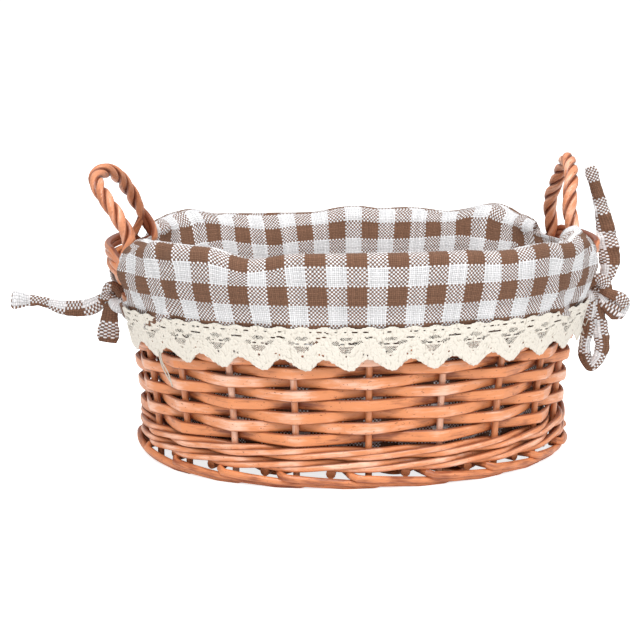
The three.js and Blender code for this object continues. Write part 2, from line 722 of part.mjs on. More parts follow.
function knotCentre(side) {
  const reach = CLOTH_OUT + CLOTH_THICKNESS / 2 + GAP + 0.8 * TIE_KNOT_RADIUS + 0.2;
  return onWall(side > 0 ? 5 : 15, reach, TIE_KNOT_HEIGHT).point;
}

function knot(side) {
  const geometry = new THREE.SphereGeometry(TIE_KNOT_RADIUS, 10, 7);
  return geometry.scale(0.8, 1, 1.15).translate(...knotCentre(side).toArray());
}

// Points given outward from the knot, to the back and up.
function fromKnot(side, offsets) {
  return offsets.map(([out, back, up]) => knotCentre(side).add(new THREE.Vector3(side * out, back, up)));
}

function tie(side, bands) {
  const pieces = bands.map(({ offsets, widths, across }) => {
    return ribbon(fromKnot(side, offsets), widths, new THREE.Vector3(...across).normalize());
  });
  return joined([knot(side), ...pieces]);
}

const leftBands = [
  {
    offsets: [[0, -1, 0], [14, -3, -1.5], [33, -5, -2], [52, -6, 2]],
    widths: [7, 9, TAIL_WIDTH, 9, 6],
    across: [0.1, 0, 1],
  },
  {
    offsets: [[0, -1, 0], [3, -3, -10], [3, -4, -20], [1.5, -4, -29]],
    widths: [6, 9, TAIL_WIDTH, 9, 4],
    across: [1, 0, 0.15],
  },
];
const rightBands = [
  {
    offsets: [[0, 0, 0], [7, -1, 14], [9, -1, 26], [5, 0, 46], [-1, 0, 61], [-7, 0, 75]],
    widths: [8, 9, TAIL_WIDTH, 10, 8, 5],
    across: [1, 0, 0.2],
  },
  {
    offsets: [[0, -1, 0], [1, -3, -14], [0.5, -4, -32], [-1, -5, -54]],
    widths: [6, 12, 14, 11, 5],
    across: [1, 0, 0],
  },
  {
    offsets: [[0, -1, 0], [9, -3, -3], [17, -4, -12], [15, -4, -22]],
    widths: [7, 11, 12, 7],
    across: [0.6, 0, 0.8],
  },
];
addPiece(basket, "tie_left", tie(-1, leftBands), gingham);
addPiece(basket, "tie_right", tie(1, rightBands), gingham);

// The origin is the middle of the whole object's box, at the floor.
basket.updateMatrixWorld(true);
const bounds = new THREE.Box3().setFromObject(basket);
const centre = bounds.getCenter(new THREE.Vector3());
basket.position.set(-centre.x, -centre.y, -bounds.min.z);

export default basket;
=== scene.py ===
"""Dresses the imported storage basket: willow, a gingham liner, its lace edge and its two ties.

Lengths are millimetres in the basket's own frame until a piece is finished, when it becomes
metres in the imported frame. A station counts stakes round the wall from the middle of the front
towards +X, and "out" is the distance outside the stakes' own oval.
"""

import logging
import math
import random
from collections.abc import Sequence
from dataclasses import dataclass
from enum import Enum

import bmesh
import bpy
from mathutils import Matrix, Vector, noise

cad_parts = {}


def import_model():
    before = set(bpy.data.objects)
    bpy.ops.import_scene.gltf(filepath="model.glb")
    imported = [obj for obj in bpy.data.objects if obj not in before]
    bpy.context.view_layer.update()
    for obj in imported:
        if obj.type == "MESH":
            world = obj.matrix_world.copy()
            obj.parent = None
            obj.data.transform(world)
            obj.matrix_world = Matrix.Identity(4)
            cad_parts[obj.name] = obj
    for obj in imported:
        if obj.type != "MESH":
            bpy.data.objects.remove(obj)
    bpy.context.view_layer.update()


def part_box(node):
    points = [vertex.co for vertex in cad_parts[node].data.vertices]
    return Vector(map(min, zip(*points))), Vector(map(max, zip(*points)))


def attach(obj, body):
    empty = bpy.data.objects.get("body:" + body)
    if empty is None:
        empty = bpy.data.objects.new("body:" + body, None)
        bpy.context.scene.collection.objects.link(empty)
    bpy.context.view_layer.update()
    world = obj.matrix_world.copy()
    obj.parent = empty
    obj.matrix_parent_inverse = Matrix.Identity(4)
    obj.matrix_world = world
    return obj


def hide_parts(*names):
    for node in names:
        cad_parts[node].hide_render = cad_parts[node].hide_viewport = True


LOG = logging.getLogger("storage_basket")
MM = 0.001
STAKES = 20
QUARTER = STAKES / 4
HALF = STAKES / 2
CHECK = 10.64  # side of one check of the gingham
GRAIN = 900.0  # the stretch of grain within which each length of willow begins
STAKE_GAP = 38.0  # about the distance from one stake to the next
WALL_WEIGHTS = (STAKE_GAP, 1.0, 1.0, 0.0)  # of a knot's station, out, height and radius in its distance
SPACE_WEIGHTS = (1.0, 1.0, 1.0, 0.0)  # of a knot's X, Y, Z and size
UP = Vector((0, 0, 1))


class Slot(Enum):
    """The record's material slots."""

    WILLOW = "willow"
    SPLIT_WILLOW = "split_willow"
    HANDLE_WILLOW = "handle_willow"
    GINGHAM = "gingham"
    LACE = "lace"


PREFIXES = {
    Slot.WILLOW: "willow_",
    Slot.SPLIT_WILLOW: "split_",
    Slot.HANDLE_WILLOW: "willow_",
    Slot.GINGHAM: "gingham_",
    Slot.LACE: "cotton_",
}


def powered(value: float, power: float) -> float:
    """Raises a number to a power and keeps its sign."""
    return math.copysign(abs(value) ** power, value)


def smooth_step(low: float, high: float, value: float) -> float:
    """Rises smoothly from 0 at low to 1 at high."""
    share = min(max((value - low) / (high - low), 0.0), 1.0)
    return share * share * (3 - 2 * share)


def mix(low: float, high: float, share: float) -> float:
    """Goes from low to high as share goes from 0 to 1."""
    return low + (high - low) * share


def noise_at(x: float, y: float, z: float) -> float:
    """Gives smooth noise between about -1 and 1."""
    return noise.noise(Vector((x, y, z)))


def curve_through(
    knots: Sequence[Sequence[float]], counts: Sequence[int], weights: Sequence[float]
) -> list[tuple[float, ...]]:
    """Draws a smooth line through knots of any number of values.

    Args:
        knots: the values at each knot.
        counts: how many steps to take between each knot and the next.
        weights: what one unit of each value counts for in the distance between two knots.

    Returns:
        The values at every step, the first and last knot included.
    """
    spans = []
    for low, high in zip(knots, knots[1:]):
        steps = [weight * (b - a) for a, b, weight in zip(low, high, weights)]
        spans.append(max(math.hypot(*steps), 1e-6))
    slopes = []
    for i, knot in enumerate(knots):
        if i == 0:
            slope = [(b - a) / spans[0] for a, b in zip(knot, knots[1])]
        elif i == len(knots) - 1:
            slope = [(b - a) / spans[-1] for a, b in zip(knots[-2], knot)]
        else:
            before, after = spans[i - 1], spans[i]
            slope = [
                ((c - b) / after * before + (b - a) / before * after) / (before + after)
                for a, b, c in zip(knots[i - 1], knot, knots[i + 1])
            ]
        slopes.append(slope)
    line = []
    for i, count in enumerate(counts):
        ends = list(zip(knots[i], slopes[i], knots[i + 1], slopes[i + 1]))  # of each value, with its slopes
        for step in range(count):
            t = step / count
            a = 2 * t**3 - 3 * t**2 + 1
            b = (t**3 - 2 * t**2 + t) * spans[i]
            c = 3 * t**2 - 2 * t**3
            d = (t**3 - t**2) * spans[i]
            line.append(tuple(a * p + b * q + c * r + d * s for p, q, r, s in ends))
    line.append(tuple(knots[-1]))
    return line


def even_curve(
    knots: Sequence[Sequence[float]], spacing: float, weights: Sequence[float]
) -> list[tuple[float, ...]]:
    """Draws a smooth line through knots with steps of about one length.

    Args:
        knots: the values at each knot.
        spacing: the length of a step.
        weights: what one unit of each value counts for in a length.

    Returns:
        The values at every step.
    """
    counts = []
    for low, high in zip(knots, knots[1:]):
        span = math.hypot(*(weight * (b - a) for a, b, weight in zip(low, high, weights)))
        counts.append(max(round(span / spacing), 1))
    return curve_through(knots, counts, weights)


@dataclass(frozen=True)
class Spot:
    """A point on the wall, the way out from it and how far the wall leans out in 1 mm of height."""

    point: Vector
    outward: Vector
    lean: float


@dataclass(frozen=True)
class WallShape:
    """The oval that the stakes stand on, narrow at the foot and wider at the rim."""

    foot_half_length: float = 126.0
    foot_half_width: float = 95.8
    rim_half_length: float = 143.5
    rim_half_width: float = 103.8
    rim_height: float = 118.6
    oval_power: float = 2.12
    flare_power: float = 2.3
    stake_turn: float = 0.302

    def angle_at(self, station: float) -> float:
        """Gives the angle round the oval of a station. The end stakes stand on the long axis.

        Args:
            station: the station.

        Returns:
            The angle in radians.
        """
        turns = math.floor(station / HALF)
        along = station - turns * HALF
        quarter = min(along, HALF - along)
        last = QUARTER - 1
        beyond = max(quarter - last, 0.0)
        angle = min(quarter, last) * self.stake_turn + beyond * (math.pi / 2 - last * self.stake_turn)
        return turns * math.pi + (angle if along <= QUARTER else math.pi - angle)

    def oval(
        self, half_length: float, half_width: float, station: float, height: float
    ) -> tuple[Vector, Vector]:
        """Finds a point of an oval.

        Args:
            half_length: the oval's reach along X.
            half_width: the oval's reach along Y.
            station: the place round it.
            height: its height.

        Returns:
            The point and the oval's outward direction there.
        """
        angle = self.angle_at(station)
        x = powered(math.sin(angle), 2 / self.oval_power)
        y = -powered(math.cos(angle), 2 / self.oval_power)
        steep = self.oval_power - 1
        outward = Vector((powered(x, steep) / half_length, powered(y, steep) / half_width, 0.0))
        return Vector((half_length * x, half_width * y, height)), outward.normalized()

    def stake_oval(self, station: float, height: float) -> tuple[Vector, Vector]:
        """Finds a point of the stakes' oval, which widens upwards.

        Args:
            station: the place round it.
            height: the height at which the wall is cut.

        Returns:
            The point and the way out from it.
        """
        share = max(height / self.rim_height, 0.0) ** self.flare_power
        half_length = mix(self.foot_half_length, self.rim_half_length, share)
        half_width = mix(self.foot_half_width, self.rim_half_width, share)
        return self.oval(half_length, half_width, station, height)

    def spot(self, station: float, out: float, height: float) -> Spot:
        """Finds a spot on the wall.

        Args:
            station: the place round it.
            out: the distance outside the stakes' oval.
            height: the height of the spot.

        Returns:
            The spot.
        """
        point, outward = self.stake_oval(station, height)
        lean = (self.stake_oval(station, height + 1)[0] - point).dot(outward)
        return Spot(point + out * outward, outward, lean)


class Girth:
    """How far round the wall each station lies from the middle of the front."""

    def __init__(self, wall: WallShape, out: float, height: float, steps: int = 1600) -> None:
        """Measures round the wall once.

        Args:
            wall: the wall.
            out: the distance outside the stakes' oval at which it is measured.
            height: the height at which it is measured.
            steps: the number of steps in one round.
        """
        self.steps = steps
        self.low = -HALF
        points = [wall.spot(self.low + STAKES * i / steps, out, height).point for i in range(steps + 1)]
        self.reached = [0.0]
        for low, high in zip(points, points[1:]):
            self.reached.append(self.reached[-1] + (high - low).length)
        self.whole = self.reached[-1]

    def at(self, station: float) -> float:
        """Gives the distance to a station.

        Args:
            station: the station.

        Returns:
            The distance round the wall from the middle of the front.
        """
        turns = math.floor((station - self.low) / STAKES)
        place = (station - self.low - turns * STAKES) / STAKES * self.steps
        index = min(int(place), self.steps - 1)
        reached = mix(self.reached[index], self.reached[index + 1], place - index)
        return reached + (turns - 0.5) * self.whole

    def station(self, distance: float) -> float:
        """Finds a station by its distance.

        Args:
            distance: the distance round the wall from the middle of the front.

        Returns:
            The station.
        """
        low, high = -2.0 * STAKES, 2.0 * STAKES
        for _ in range(40):
            middle = (low + high) / 2
            if self.at(middle) < distance:
                low = middle
            else:
                high = middle
        return (low + high) / 2


@dataclass
class Ring:
    """One place along a length of willow or cloth strip, with its section's half sizes."""

    middle: Vector
    outward: Vector
    half_out: float
    half_up: float
    # The last field is added to the length's tone at this ring: painted highlight and painted shade on the
    # randing and the wale, random tone on the handles.
    tone_and_painted_light: float = 0.0


class Creased(Enum):
    """Where a section gets painted shade: nowhere, along its two edges or where it lies on its neighbours.
    """

    NOWHERE = 0
    EDGES = 1
    INSIDE = 2


class Weft:
    """The mesh of one piece, made of lengths that are swept along their lines."""

    def __init__(self) -> None:
        """Starts an empty mesh with the grain's coordinates and tone."""
        self.mesh = bmesh.new()
        self.grain = self.mesh.verts.layers.float_vector.new("grain")
        self.tone = self.mesh.verts.layers.float.new("tone")
        # The crease layer marks where painted shade darkens the willow's colour.
        self.crease = self.mesh.verts.layers.float.new("crease")

    @staticmethod
    def frames(rings: Sequence[Ring]) -> list[Matrix]:
        """Gives the matrix that lays a unit section on each ring.

        Args:
            rings: the rings of one length, in order.

        Returns:
            One matrix for each ring.
        """
        frames = []
        for i, ring in enumerate(rings):
            before = rings[max(i - 1, 0)].middle
            after = rings[min(i + 1, len(rings) - 1)].middle
            along = (after - before).normalized()
            first = (ring.outward - ring.outward.dot(along) * along).normalized()
            second = first.cross(along)
            columns = (first * ring.half_out, second * ring.half_up, along, ring.middle)
            frame = Matrix([list(row) for row in zip(*columns)])
            frame.resize_4x4()
            frames.append(frame)
        return frames

    def lay(
        self,
        rings: Sequence[Ring],
        tone: float,
        shift: float,
        sides: int = 10,
        power: float = 2.0,
        lane: float = 0.0,
        drift: float = 0.0,
        creased: Creased = Creased.NOWHERE,
    ) -> None:
        """Sweeps one length through its rings and closes its ends.

        Args:
            rings: the rings, in order.
            tone: how light the length is, from 0 to 1.
            shift: where along the grain the length begins.
            sides: the number of sides of its section.
            power: how square its section is; 2 is an oval.
            lane: where across the grain its middle lies at the start.
            drift: how far that moves for each millimetre along.
            creased: where its section gets painted shade.
        """
        frames = self.frames(rings)
        verts = bmesh.ops.create_circle(self.mesh, segments=sides, radius=1.0)["verts"]
        for vert in verts:
            vert.co.x = powered(vert.co.x, 2 / power)
            vert.co.y = powered(vert.co.y, 2 / power)
            vert[self.grain] = (shift, vert.co.x * rings[0].half_out, vert.co.y * rings[0].half_up + lane)
            # Each ring's shift on top of the tone carries painted highlight and shade where the rings give
            # one.
            vert[self.tone] = tone + rings[0].tone_and_painted_light
            # Painted shade along the section's edges or on its inner side, where it lies on its neighbours.
            if creased is Creased.EDGES:
                vert[self.crease] = smooth_step(0.6, 1.0, abs(vert.co.y))
            elif creased is Creased.INSIDE:
                vert[self.crease] = smooth_step(0.75, 0.1, vert.co.x)
        bmesh.ops.transform(self.mesh, matrix=frames[0], verts=verts)
        edges = list(dict.fromkeys(edge for vert in verts for edge in vert.link_edges))
        self.close(edges)
        reached = shift
        for i in range(1, len(rings)):
            step = (rings[i].middle - rings[i - 1].middle).length
            reached += step
            grown = bmesh.ops.extrude_edge_only(self.mesh, edges=edges)["geom"]
            verts = [part for part in grown if isinstance(part, bmesh.types.BMVert)]
            edges = [part for part in grown if isinstance(part, bmesh.types.BMEdge)]
            bmesh.ops.transform(self.mesh, matrix=frames[i] @ frames[i - 1].inverted(), verts=verts)
            for vert in verts:
                vert[self.grain] = (reached, vert[self.grain].y, vert[self.grain].z + drift * step)
                vert[self.tone] = tone + rings[i].tone_and_painted_light
        self.close(edges)
        self.settle()

    def close(self, edges: list[bmesh.types.BMEdge]) -> None:
        """Closes an end with a flat, sharp-edged face.

        Args:
            edges: the edges of the end.
        """
        bmesh.ops.contextual_create(self.mesh, geom=edges)
        for edge in edges:
            edge.smooth = False

    def settle(self) -> None:
        """Orders edges and faces by their corners, as extruding orders them anew in each run."""
        self.mesh.verts.index_update()
        for parts in (self.mesh.edges, self.mesh.faces):
            parts.sort(key=self.corner_order)

    @staticmethod
    def corner_order(part: bmesh.types.BMEdge | bmesh.types.BMFace) -> int:
        """Gives a number that rises with the first of a part's corners and then with the last."""
        places = [vert.index for vert in part.verts]
        return min(places) * 10**6 + max(places)

    def cloth_uv(self) -> None:
        """Lays the cloth's checks along the strips, from the grain's coordinates."""
        layer = self.mesh.loops.layers.uv.new("checks")
        for face in self.mesh.faces:
            for loop in face.loops:
                grain = loop.vert[self.grain]
                loop[layer].uv = (grain.x / CHECK, grain.z / CHECK + 0.5)


@dataclass
class Bench:
    """Where the pieces are finished: the wall's shape, the middle of the basket and the finishes."""

    wall: WallShape
    centre: Vector
    finishes: dict[Slot, bpy.types.Material]

    def ring(self, station: float, out: float, height: float, radius: float) -> Ring:
        """Gives a round ring at a place on the wall."""
        spot = self.wall.spot(station, out, height)
        return Ring(spot.point, spot.outward, radius, radius)

    def rod(self, knots: Sequence[Sequence[float]], spacing: float) -> list[Ring]:
        """Gives the rings of a round rod through knots of station, out, height and radius."""
        return [self.ring(*values) for values in even_curve(knots, spacing, WALL_WEIGHTS)]

    def finish(self, mesh: bmesh.types.BMesh, node: str, slot: Slot) -> bpy.types.Object:
        """Puts a mesh in the scene as a finished piece, named after its material and its solid.

        Args:
            mesh: the piece in millimetres in the basket's own frame.
            node: the solid that it stands for.
            slot: the material slot that it takes its finish from.

        Returns:
            The piece's object.
        """
        bmesh.ops.recalc_face_normals(mesh, faces=mesh.faces)
        mesh.transform(Matrix.Translation(self.centre) @ Matrix.Scale(MM, 4))
        for face in mesh.faces:
            face.smooth = True
        name = PREFIXES[slot] + node
        data = bpy.data.meshes.new(name)
        mesh.to_mesh(data)
        mesh.free()
        data.materials.append(self.finishes[slot])
        piece = bpy.data.objects.new(name, data)
        bpy.context.scene.collection.objects.link(piece)
        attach(piece, "root")
        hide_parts(node)
        LOG.info("%s: %d faces", name, len(data.polygons))
        return piece

    def sheet(
        self, mesh: bmesh.types.BMesh, node: str, slot: Slot, thickness: float
    ) -> bpy.types.Object:
        """Finishes a sheet of cloth or lace and gives it its thickness, half to each side.

        Args:
            mesh: the sheet in millimetres in the basket's own frame.
            node: the solid that it stands for.
            slot: the material slot that it takes its finish from.
            thickness: the sheet's thickness.

        Returns:
            The piece's object.
        """
        piece = self.finish(mesh, node, slot)
        solid = piece.modifiers.new("thickness", "SOLIDIFY")
        solid.thickness = thickness * MM
        solid.offset = 0.0
        return piece


class NodeSheet:
    """Places and joins the nodes of one material or node group."""

    def __init__(self, tree: bpy.types.NodeTree) -> None:
        """Works on one tree."""
        self.tree = tree

    def add(self, kind: str, **settings: object) -> bpy.types.Node:
        """Adds a node.

        Args:
            kind: the node's type.
            settings: its properties.

        Returns:
            The node.
        """
        node = self.tree.nodes.new(kind)
        for name, value in settings.items():
            setattr(node, name, value)
        return node

    def feed(self, socket: bpy.types.NodeSocket, value: object) -> None:
        """Gives a socket what it is to take.

        Args:
            socket: the input.
            value: an output to link it to, or a plain value.
        """
        if isinstance(value, bpy.types.NodeSocket):
            self.tree.links.new(value, socket)
        else:
            socket.default_value = value

    def math(self, operation: str, *values: object) -> bpy.types.NodeSocket:
        """Adds a Math node.

        Args:
            operation: what it does.
            values: its inputs, each an output or a plain value.

        Returns:
            Its result.
        """
        node = self.add("ShaderNodeMath", operation=operation)
        for socket, value in zip(node.inputs, values):
            self.feed(socket, value)
        return node.outputs[0]

    def swing(self, value: object, gain: float, base: object = 0.0) -> bpy.types.NodeSocket:
        """Adds to a base how far a value lies from a half, times a gain."""
        return self.math("MULTIPLY_ADD", self.math("SUBTRACT", value, 0.5), gain, base)

    def noise(
        self,
        vector: object,
        scale: float | tuple[float, float, float],
        detail: float = 2.0,
        roughness: float = 0.5,
    ) -> bpy.types.NodeSocket:
        """Adds a Noise Texture.

        Args:
            vector: the place in the pattern.
            scale: its scale, or its scale by axis where it is stretched.
            detail: its number of finer layers.
            roughness: how strong they are.

        Returns:
            Its value.
        """
        if isinstance(scale, tuple):
            stretch = self.add("ShaderNodeVectorMath", operation="MULTIPLY")
            self.feed(stretch.inputs[0], vector)
            stretch.inputs[1].default_value = scale
            vector, scale = stretch.outputs["Vector"], 1.0
        node = self.add("ShaderNodeTexNoise")
        self.feed(node.inputs["Vector"], vector)
        node.inputs["Scale"].default_value = scale
        node.inputs["Detail"].default_value = detail
        node.inputs["Roughness"].default_value = roughness
        return node.outputs["Fac"]

    def steps(
        self, value: object, low: float, high: float, to_low: float = 0.0, to_high: float = 1.0
    ) -> bpy.types.NodeSocket:
        """Adds a smooth Map Range.

        Args:
            value: the value.
            low: where the result is to_low.
            high: where the result is to_high.
            to_low: the result's start.
            to_high: the result's end.

        Returns:
            Its result.
        """
        node = self.add("ShaderNodeMapRange", interpolation_type="SMOOTHSTEP")
        for socket, item in zip(node.inputs, (value, low, high, to_low, to_high)):
            self.feed(socket, item)
        return node.outputs["Result"]

    def blend(self, share: object, low: object, high: object, kind: str = "MIX") -> bpy.types.NodeSocket:
        """Adds a colour Mix node.

        Args:
            share: how much of the second colour there is.
            low: the first colour.
            high: the second colour.
            kind: how the two are mixed.

        Returns:
            Its result.
        """
        node = self.add("ShaderNodeMix", data_type="RGBA", blend_type=kind)
        for index, value in ((0, share), (6, low), (7, high)):
            self.feed(node.inputs[index], value)
        return node.outputs[2]


FLOAT = "NodeSocketFloat"
COLOUR = "NodeSocketColor"
VECTOR = "NodeSocketVector"


def new_group(name: str, inputs: dict[str, str], outputs: dict[str, str]) -> NodeSheet:
    """Starts a node group.

    Args:
        name: the group's name.
        inputs: the socket type of each input, by its name.
        outputs: the socket type of each output, by its name.

    Returns:
        A sheet on the group's tree, with its Group Input and Group Output in place.
    """
    tree = bpy.data.node_groups.new(name, "ShaderNodeTree")
    for sockets, way in ((inputs, "INPUT"), (outputs, "OUTPUT")):
        for label, kind in sockets.items():
            tree.interface.new_socket(name=label, in_out=way, socket_type=kind)
    sheet = NodeSheet(tree)
    sheet.add("NodeGroupInput", name="in")
    sheet.add("NodeGroupOutput", name="out")
    return sheet


def willow_grain_group() -> bpy.types.NodeTree:
    """Makes the grain of peeled, varnished willow: streaks along the rod, blotches and dark specks, with
    painted shade in creases and along edges.

    Returns:
        The group's tree.
    """
    inputs = {"Grain": VECTOR, "Tone": FLOAT, "Crease": FLOAT}
    inputs |= {"Dark": COLOUR, "Middle": COLOUR, "Light": COLOUR}
    sheet = new_group("willow_grain", inputs, {"Color": COLOUR, "Roughness": FLOAT, "Height": FLOAT})
    given = sheet.tree.nodes["in"].outputs
    streaks = sheet.noise(given["Grain"], (0.035, 0.9, 0.9), 3.0, 0.55)
    fine = sheet.noise(given["Grain"], (0.12, 3.0, 3.0), 3.0, 0.65)
    patches = sheet.noise(given["Grain"], (0.08, 0.3, 0.3), 3.0)
    level = sheet.swing(streaks, 0.45, 0.5)
    level = sheet.swing(patches, 0.9, level)
    level = sheet.swing(fine, 0.4, level)
    # The tone is each length's random tone, with painted highlight and shade added on the randing and the
    # wale.
    level = sheet.swing(given["Tone"], 0.5, level)
    low = sheet.blend(sheet.steps(level, 0.0, 0.38), given["Dark"], given["Middle"])
    colour = sheet.blend(sheet.steps(level, 0.48, 0.95), low, given["Light"])
    specks = sheet.noise(given["Grain"], (0.45, 1.1, 1.1), 2.0, 0.6)
    spots = sheet.steps(specks, 0.65, 0.71)
    colour = sheet.blend(sheet.math("MULTIPLY", spots, 0.8), colour, given["Dark"])
    # Real grain darkening by the streaks, with painted shade in the creases and along the edges.
    grain_and_crease_shade = sheet.steps(sheet.swing(streaks, 0.8, given["Crease"]), 0.15, 0.9, 0.0, 0.85)
    grain_and_crease_shade_tint = sheet.blend(grain_and_crease_shade, (1.0, 1.0, 1.0, 1.0), (0.3, 0.16, 0.1, 1.0))
    out = sheet.tree.nodes["out"].inputs
    sheet.feed(out["Color"], sheet.blend(1.0, colour, grain_and_crease_shade_tint, "MULTIPLY"))
    sheet.feed(out["Roughness"], sheet.math("MULTIPLY_ADD", fine, 0.3, 0.3))
    sheet.feed(out["Height"], sheet.math("MULTIPLY_ADD", streaks, 0.6, sheet.math("MULTIPLY", fine, 0.4)))
    return sheet.tree


def plain_weave_group() -> bpy.types.NodeTree:
    """Makes a plain weave of dyed and undyed threads in even checks, with painted shade on the threads'
    sides and in the pores between them.

    Returns:
        The group's tree.
    """
    inputs = {"Checks": VECTOR, "Dyed": COLOUR, "Undyed": COLOUR, "Threads": FLOAT}
    sheet = new_group("plain_weave", inputs, {"Color": COLOUR, "Height": FLOAT})
    given = sheet.tree.nodes["in"].outputs
    parts = sheet.add("ShaderNodeSeparateXYZ")
    sheet.feed(parts.inputs[0], given["Checks"])
    waver = sheet.swing(sheet.noise(given["Checks"], 2.3, 3.0), 0.1)
    lines = [sheet.math("ADD", parts.outputs[i], waver) for i in range(2)]
    dyed = [sheet.math("LESS_THAN", sheet.math("FLOORED_MODULO", line, 2.0), 1.0) for line in lines]
    counts = [sheet.math("MULTIPLY", line, given["Threads"]) for line in lines]
    numbers = [sheet.math("FLOOR", count) for count in counts]
    both = sheet.math("FLOORED_MODULO", sheet.math("ADD", numbers[0], numbers[1]), 2.0)
    warp_up = sheet.math("LESS_THAN", both, 0.5)
    spread = []
    for number in numbers:
        lot = sheet.add("ShaderNodeTexWhiteNoise", noise_dimensions="1D")
        sheet.feed(lot.inputs["W"], number)
        spread.append(lot.outputs["Value"])
    dye, thread = (
        sheet.math("MULTIPLY_ADD", warp_up, sheet.math("SUBTRACT", warp, weft), weft)
        for warp, weft in (dyed, spread)
    )
    slub = sheet.noise(given["Checks"], (3.0, 9.0, 3.0), 3.0, 0.6)
    light = sheet.swing(slub, 0.4, sheet.math("MULTIPLY_ADD", thread, 0.3, 0.84))
    waves = [sheet.math("SINE", sheet.math("MULTIPLY", count, math.pi)) for count in counts]
    rounds = [sheet.math("ABSOLUTE", wave) for wave in waves]
    # The crown and the gaps darken the colour as painted shade: across each round thread and in the pores
    # where the threads cross.
    crown = sheet.math("POWER", sheet.math("MULTIPLY", rounds[0], rounds[1]), 0.5)
    shade = sheet.math("MULTIPLY", light, sheet.math("MULTIPLY_ADD", crown, 0.52, 0.58))
    gaps = [sheet.math("POWER", sheet.math("SUBTRACT", 1.0, item), 2.0) for item in rounds]
    pairs = sheet.math("COSINE", sheet.math("MULTIPLY", counts[0], math.pi / 2))
    pairs = sheet.math("MULTIPLY", pairs, pairs)
    gap = sheet.math("MULTIPLY", sheet.math("MULTIPLY", gaps[0], gaps[1]), pairs)
    shade = sheet.math("MULTIPLY", shade, sheet.math("MULTIPLY_ADD", gap, -0.75, 1.0))
    shaded = sheet.add("ShaderNodeVectorMath", operation="SCALE")
    sheet.feed(shaded.inputs[0], sheet.blend(dye, given["Undyed"], given["Dyed"]))
    sheet.feed(shaded.inputs["Scale"], shade)
    out = sheet.tree.nodes["out"].inputs
    sheet.feed(out["Color"], shaded.outputs["Vector"])
    sheet.feed(out["Height"], sheet.math("MULTIPLY_ADD", thread, 0.3, crown))
    return sheet.tree


def crochet_group() -> bpy.types.NodeTree:
    """Makes rows of short crocheted cotton stitches, with painted shade between them.

    Returns:
        The group's tree.
    """
    inputs = {"Place": VECTOR, "Light": COLOUR, "Dark": COLOUR}
    sheet = new_group("crochet_stitches", inputs, {"Color": COLOUR, "Height": FLOAT})
    given = sheet.tree.nodes["in"].outputs
    parts = sheet.add("ShaderNodeSeparateXYZ")
    sheet.feed(parts.inputs[0], given["Place"])
    bend = sheet.swing(sheet.noise(given["Place"], 5.0, 2.0), 0.12)
    place = sheet.add("ShaderNodeCombineXYZ")
    for i, (way, per_motif) in enumerate((("ADD", 17.0), ("SUBTRACT", 12.0))):
        wavy = sheet.math(way, parts.outputs[i], bend)
        sheet.feed(place.inputs[i], sheet.math("MULTIPLY", wavy, per_motif))
    knots = sheet.add("ShaderNodeTexVoronoi", voronoi_dimensions="2D", distance="EUCLIDEAN")
    knots.inputs["Scale"].default_value = 1.0
    knots.inputs["Randomness"].default_value = 0.75
    sheet.feed(knots.inputs["Vector"], place.outputs[0])
    fuzz = sheet.noise(given["Place"], 70.0, 3.0)
    height = sheet.swing(fuzz, 0.35, sheet.math("SUBTRACT", 1.0, knots.outputs["Distance"]))
    out = sheet.tree.nodes["out"].inputs
    # Painted shade: the dark colour goes into the low places between the stitches.
    sheet.feed(out["Color"], sheet.blend(sheet.steps(height, 0.12, 0.52), given["Dark"], given["Light"]))
    sheet.feed(out["Height"], height)
    return sheet.tree


class FinishSheet(NodeSheet):
    """A material whose pattern feeds the shader's colour and a bump."""

    def __init__(
        self,
        name: str,
        pattern: bpy.types.NodeTree,
        colours: dict[str, tuple[float, float, float]],
        bump: tuple[float, float],
        surface: dict[str, float],
    ) -> None:
        """Starts the material.

        Args:
            name: the finish's name.
            pattern: the node group of its pattern.
            colours: the colours that the pattern is given.
            bump: the bump's strength and its depth in metres.
            surface: the shader's own constant values.
        """
        self.material = bpy.data.materials.new(name)
        self.material.use_nodes = True
        super().__init__(self.material.node_tree)
        self.shader = self.tree.nodes["Principled BSDF"].inputs
        self.pattern = self.add("ShaderNodeGroup", node_tree=pattern)
        for label, colour in colours.items():
            self.pattern.inputs[label].default_value = (*colour, 1.0)
        relief = self.add("ShaderNodeBump")
        for label, value in zip(("Strength", "Distance"), bump):
            relief.inputs[label].default_value = value
        self.feed(relief.inputs["Height"], self.pattern.outputs["Height"])
        self.feed(self.shader["Base Color"], self.pattern.outputs["Color"])
        self.feed(self.shader["Normal"], relief.outputs["Normal"])
        for label, value in surface.items():
            self.shader[label].default_value = value

    def follow(self, label: str, uv_map: str) -> None:
        """Lays the pattern by one of the piece's UV maps."""
        place = self.add("ShaderNodeUVMap", uv_map=uv_map)
        self.feed(self.pattern.inputs[label], place.outputs["UV"])


@dataclass(frozen=True)
class WillowFinish:
    """Peeled willow, tinted a warm brown and thinly varnished."""

    name: str
    dark: tuple[float, float, float]
    middle: tuple[float, float, float]
    light: tuple[float, float, float]
    coat: float = 0.35
    bump: float = 0.3

    def material(self, grain: bpy.types.NodeTree) -> bpy.types.Material:
        """Makes the finish's material.

        Args:
            grain: the willow grain.

        Returns:
            The material.
        """
        colours = {"Dark": self.dark, "Middle": self.middle, "Light": self.light}
        surface = {"Specular IOR Level": 0.4, "Coat Weight": self.coat, "Coat Roughness": 0.26}
        sheet = FinishSheet(self.name, grain, colours, (self.bump, 0.0006), surface)
        for layer, output in (("grain", "Vector"), ("tone", "Fac"), ("crease", "Fac")):
            kept = sheet.add("ShaderNodeAttribute", attribute_name=layer)
            sheet.feed(sheet.pattern.inputs[layer.title()], kept.outputs[output])
        sheet.feed(sheet.shader["Roughness"], sheet.pattern.outputs["Roughness"])
        return sheet.material


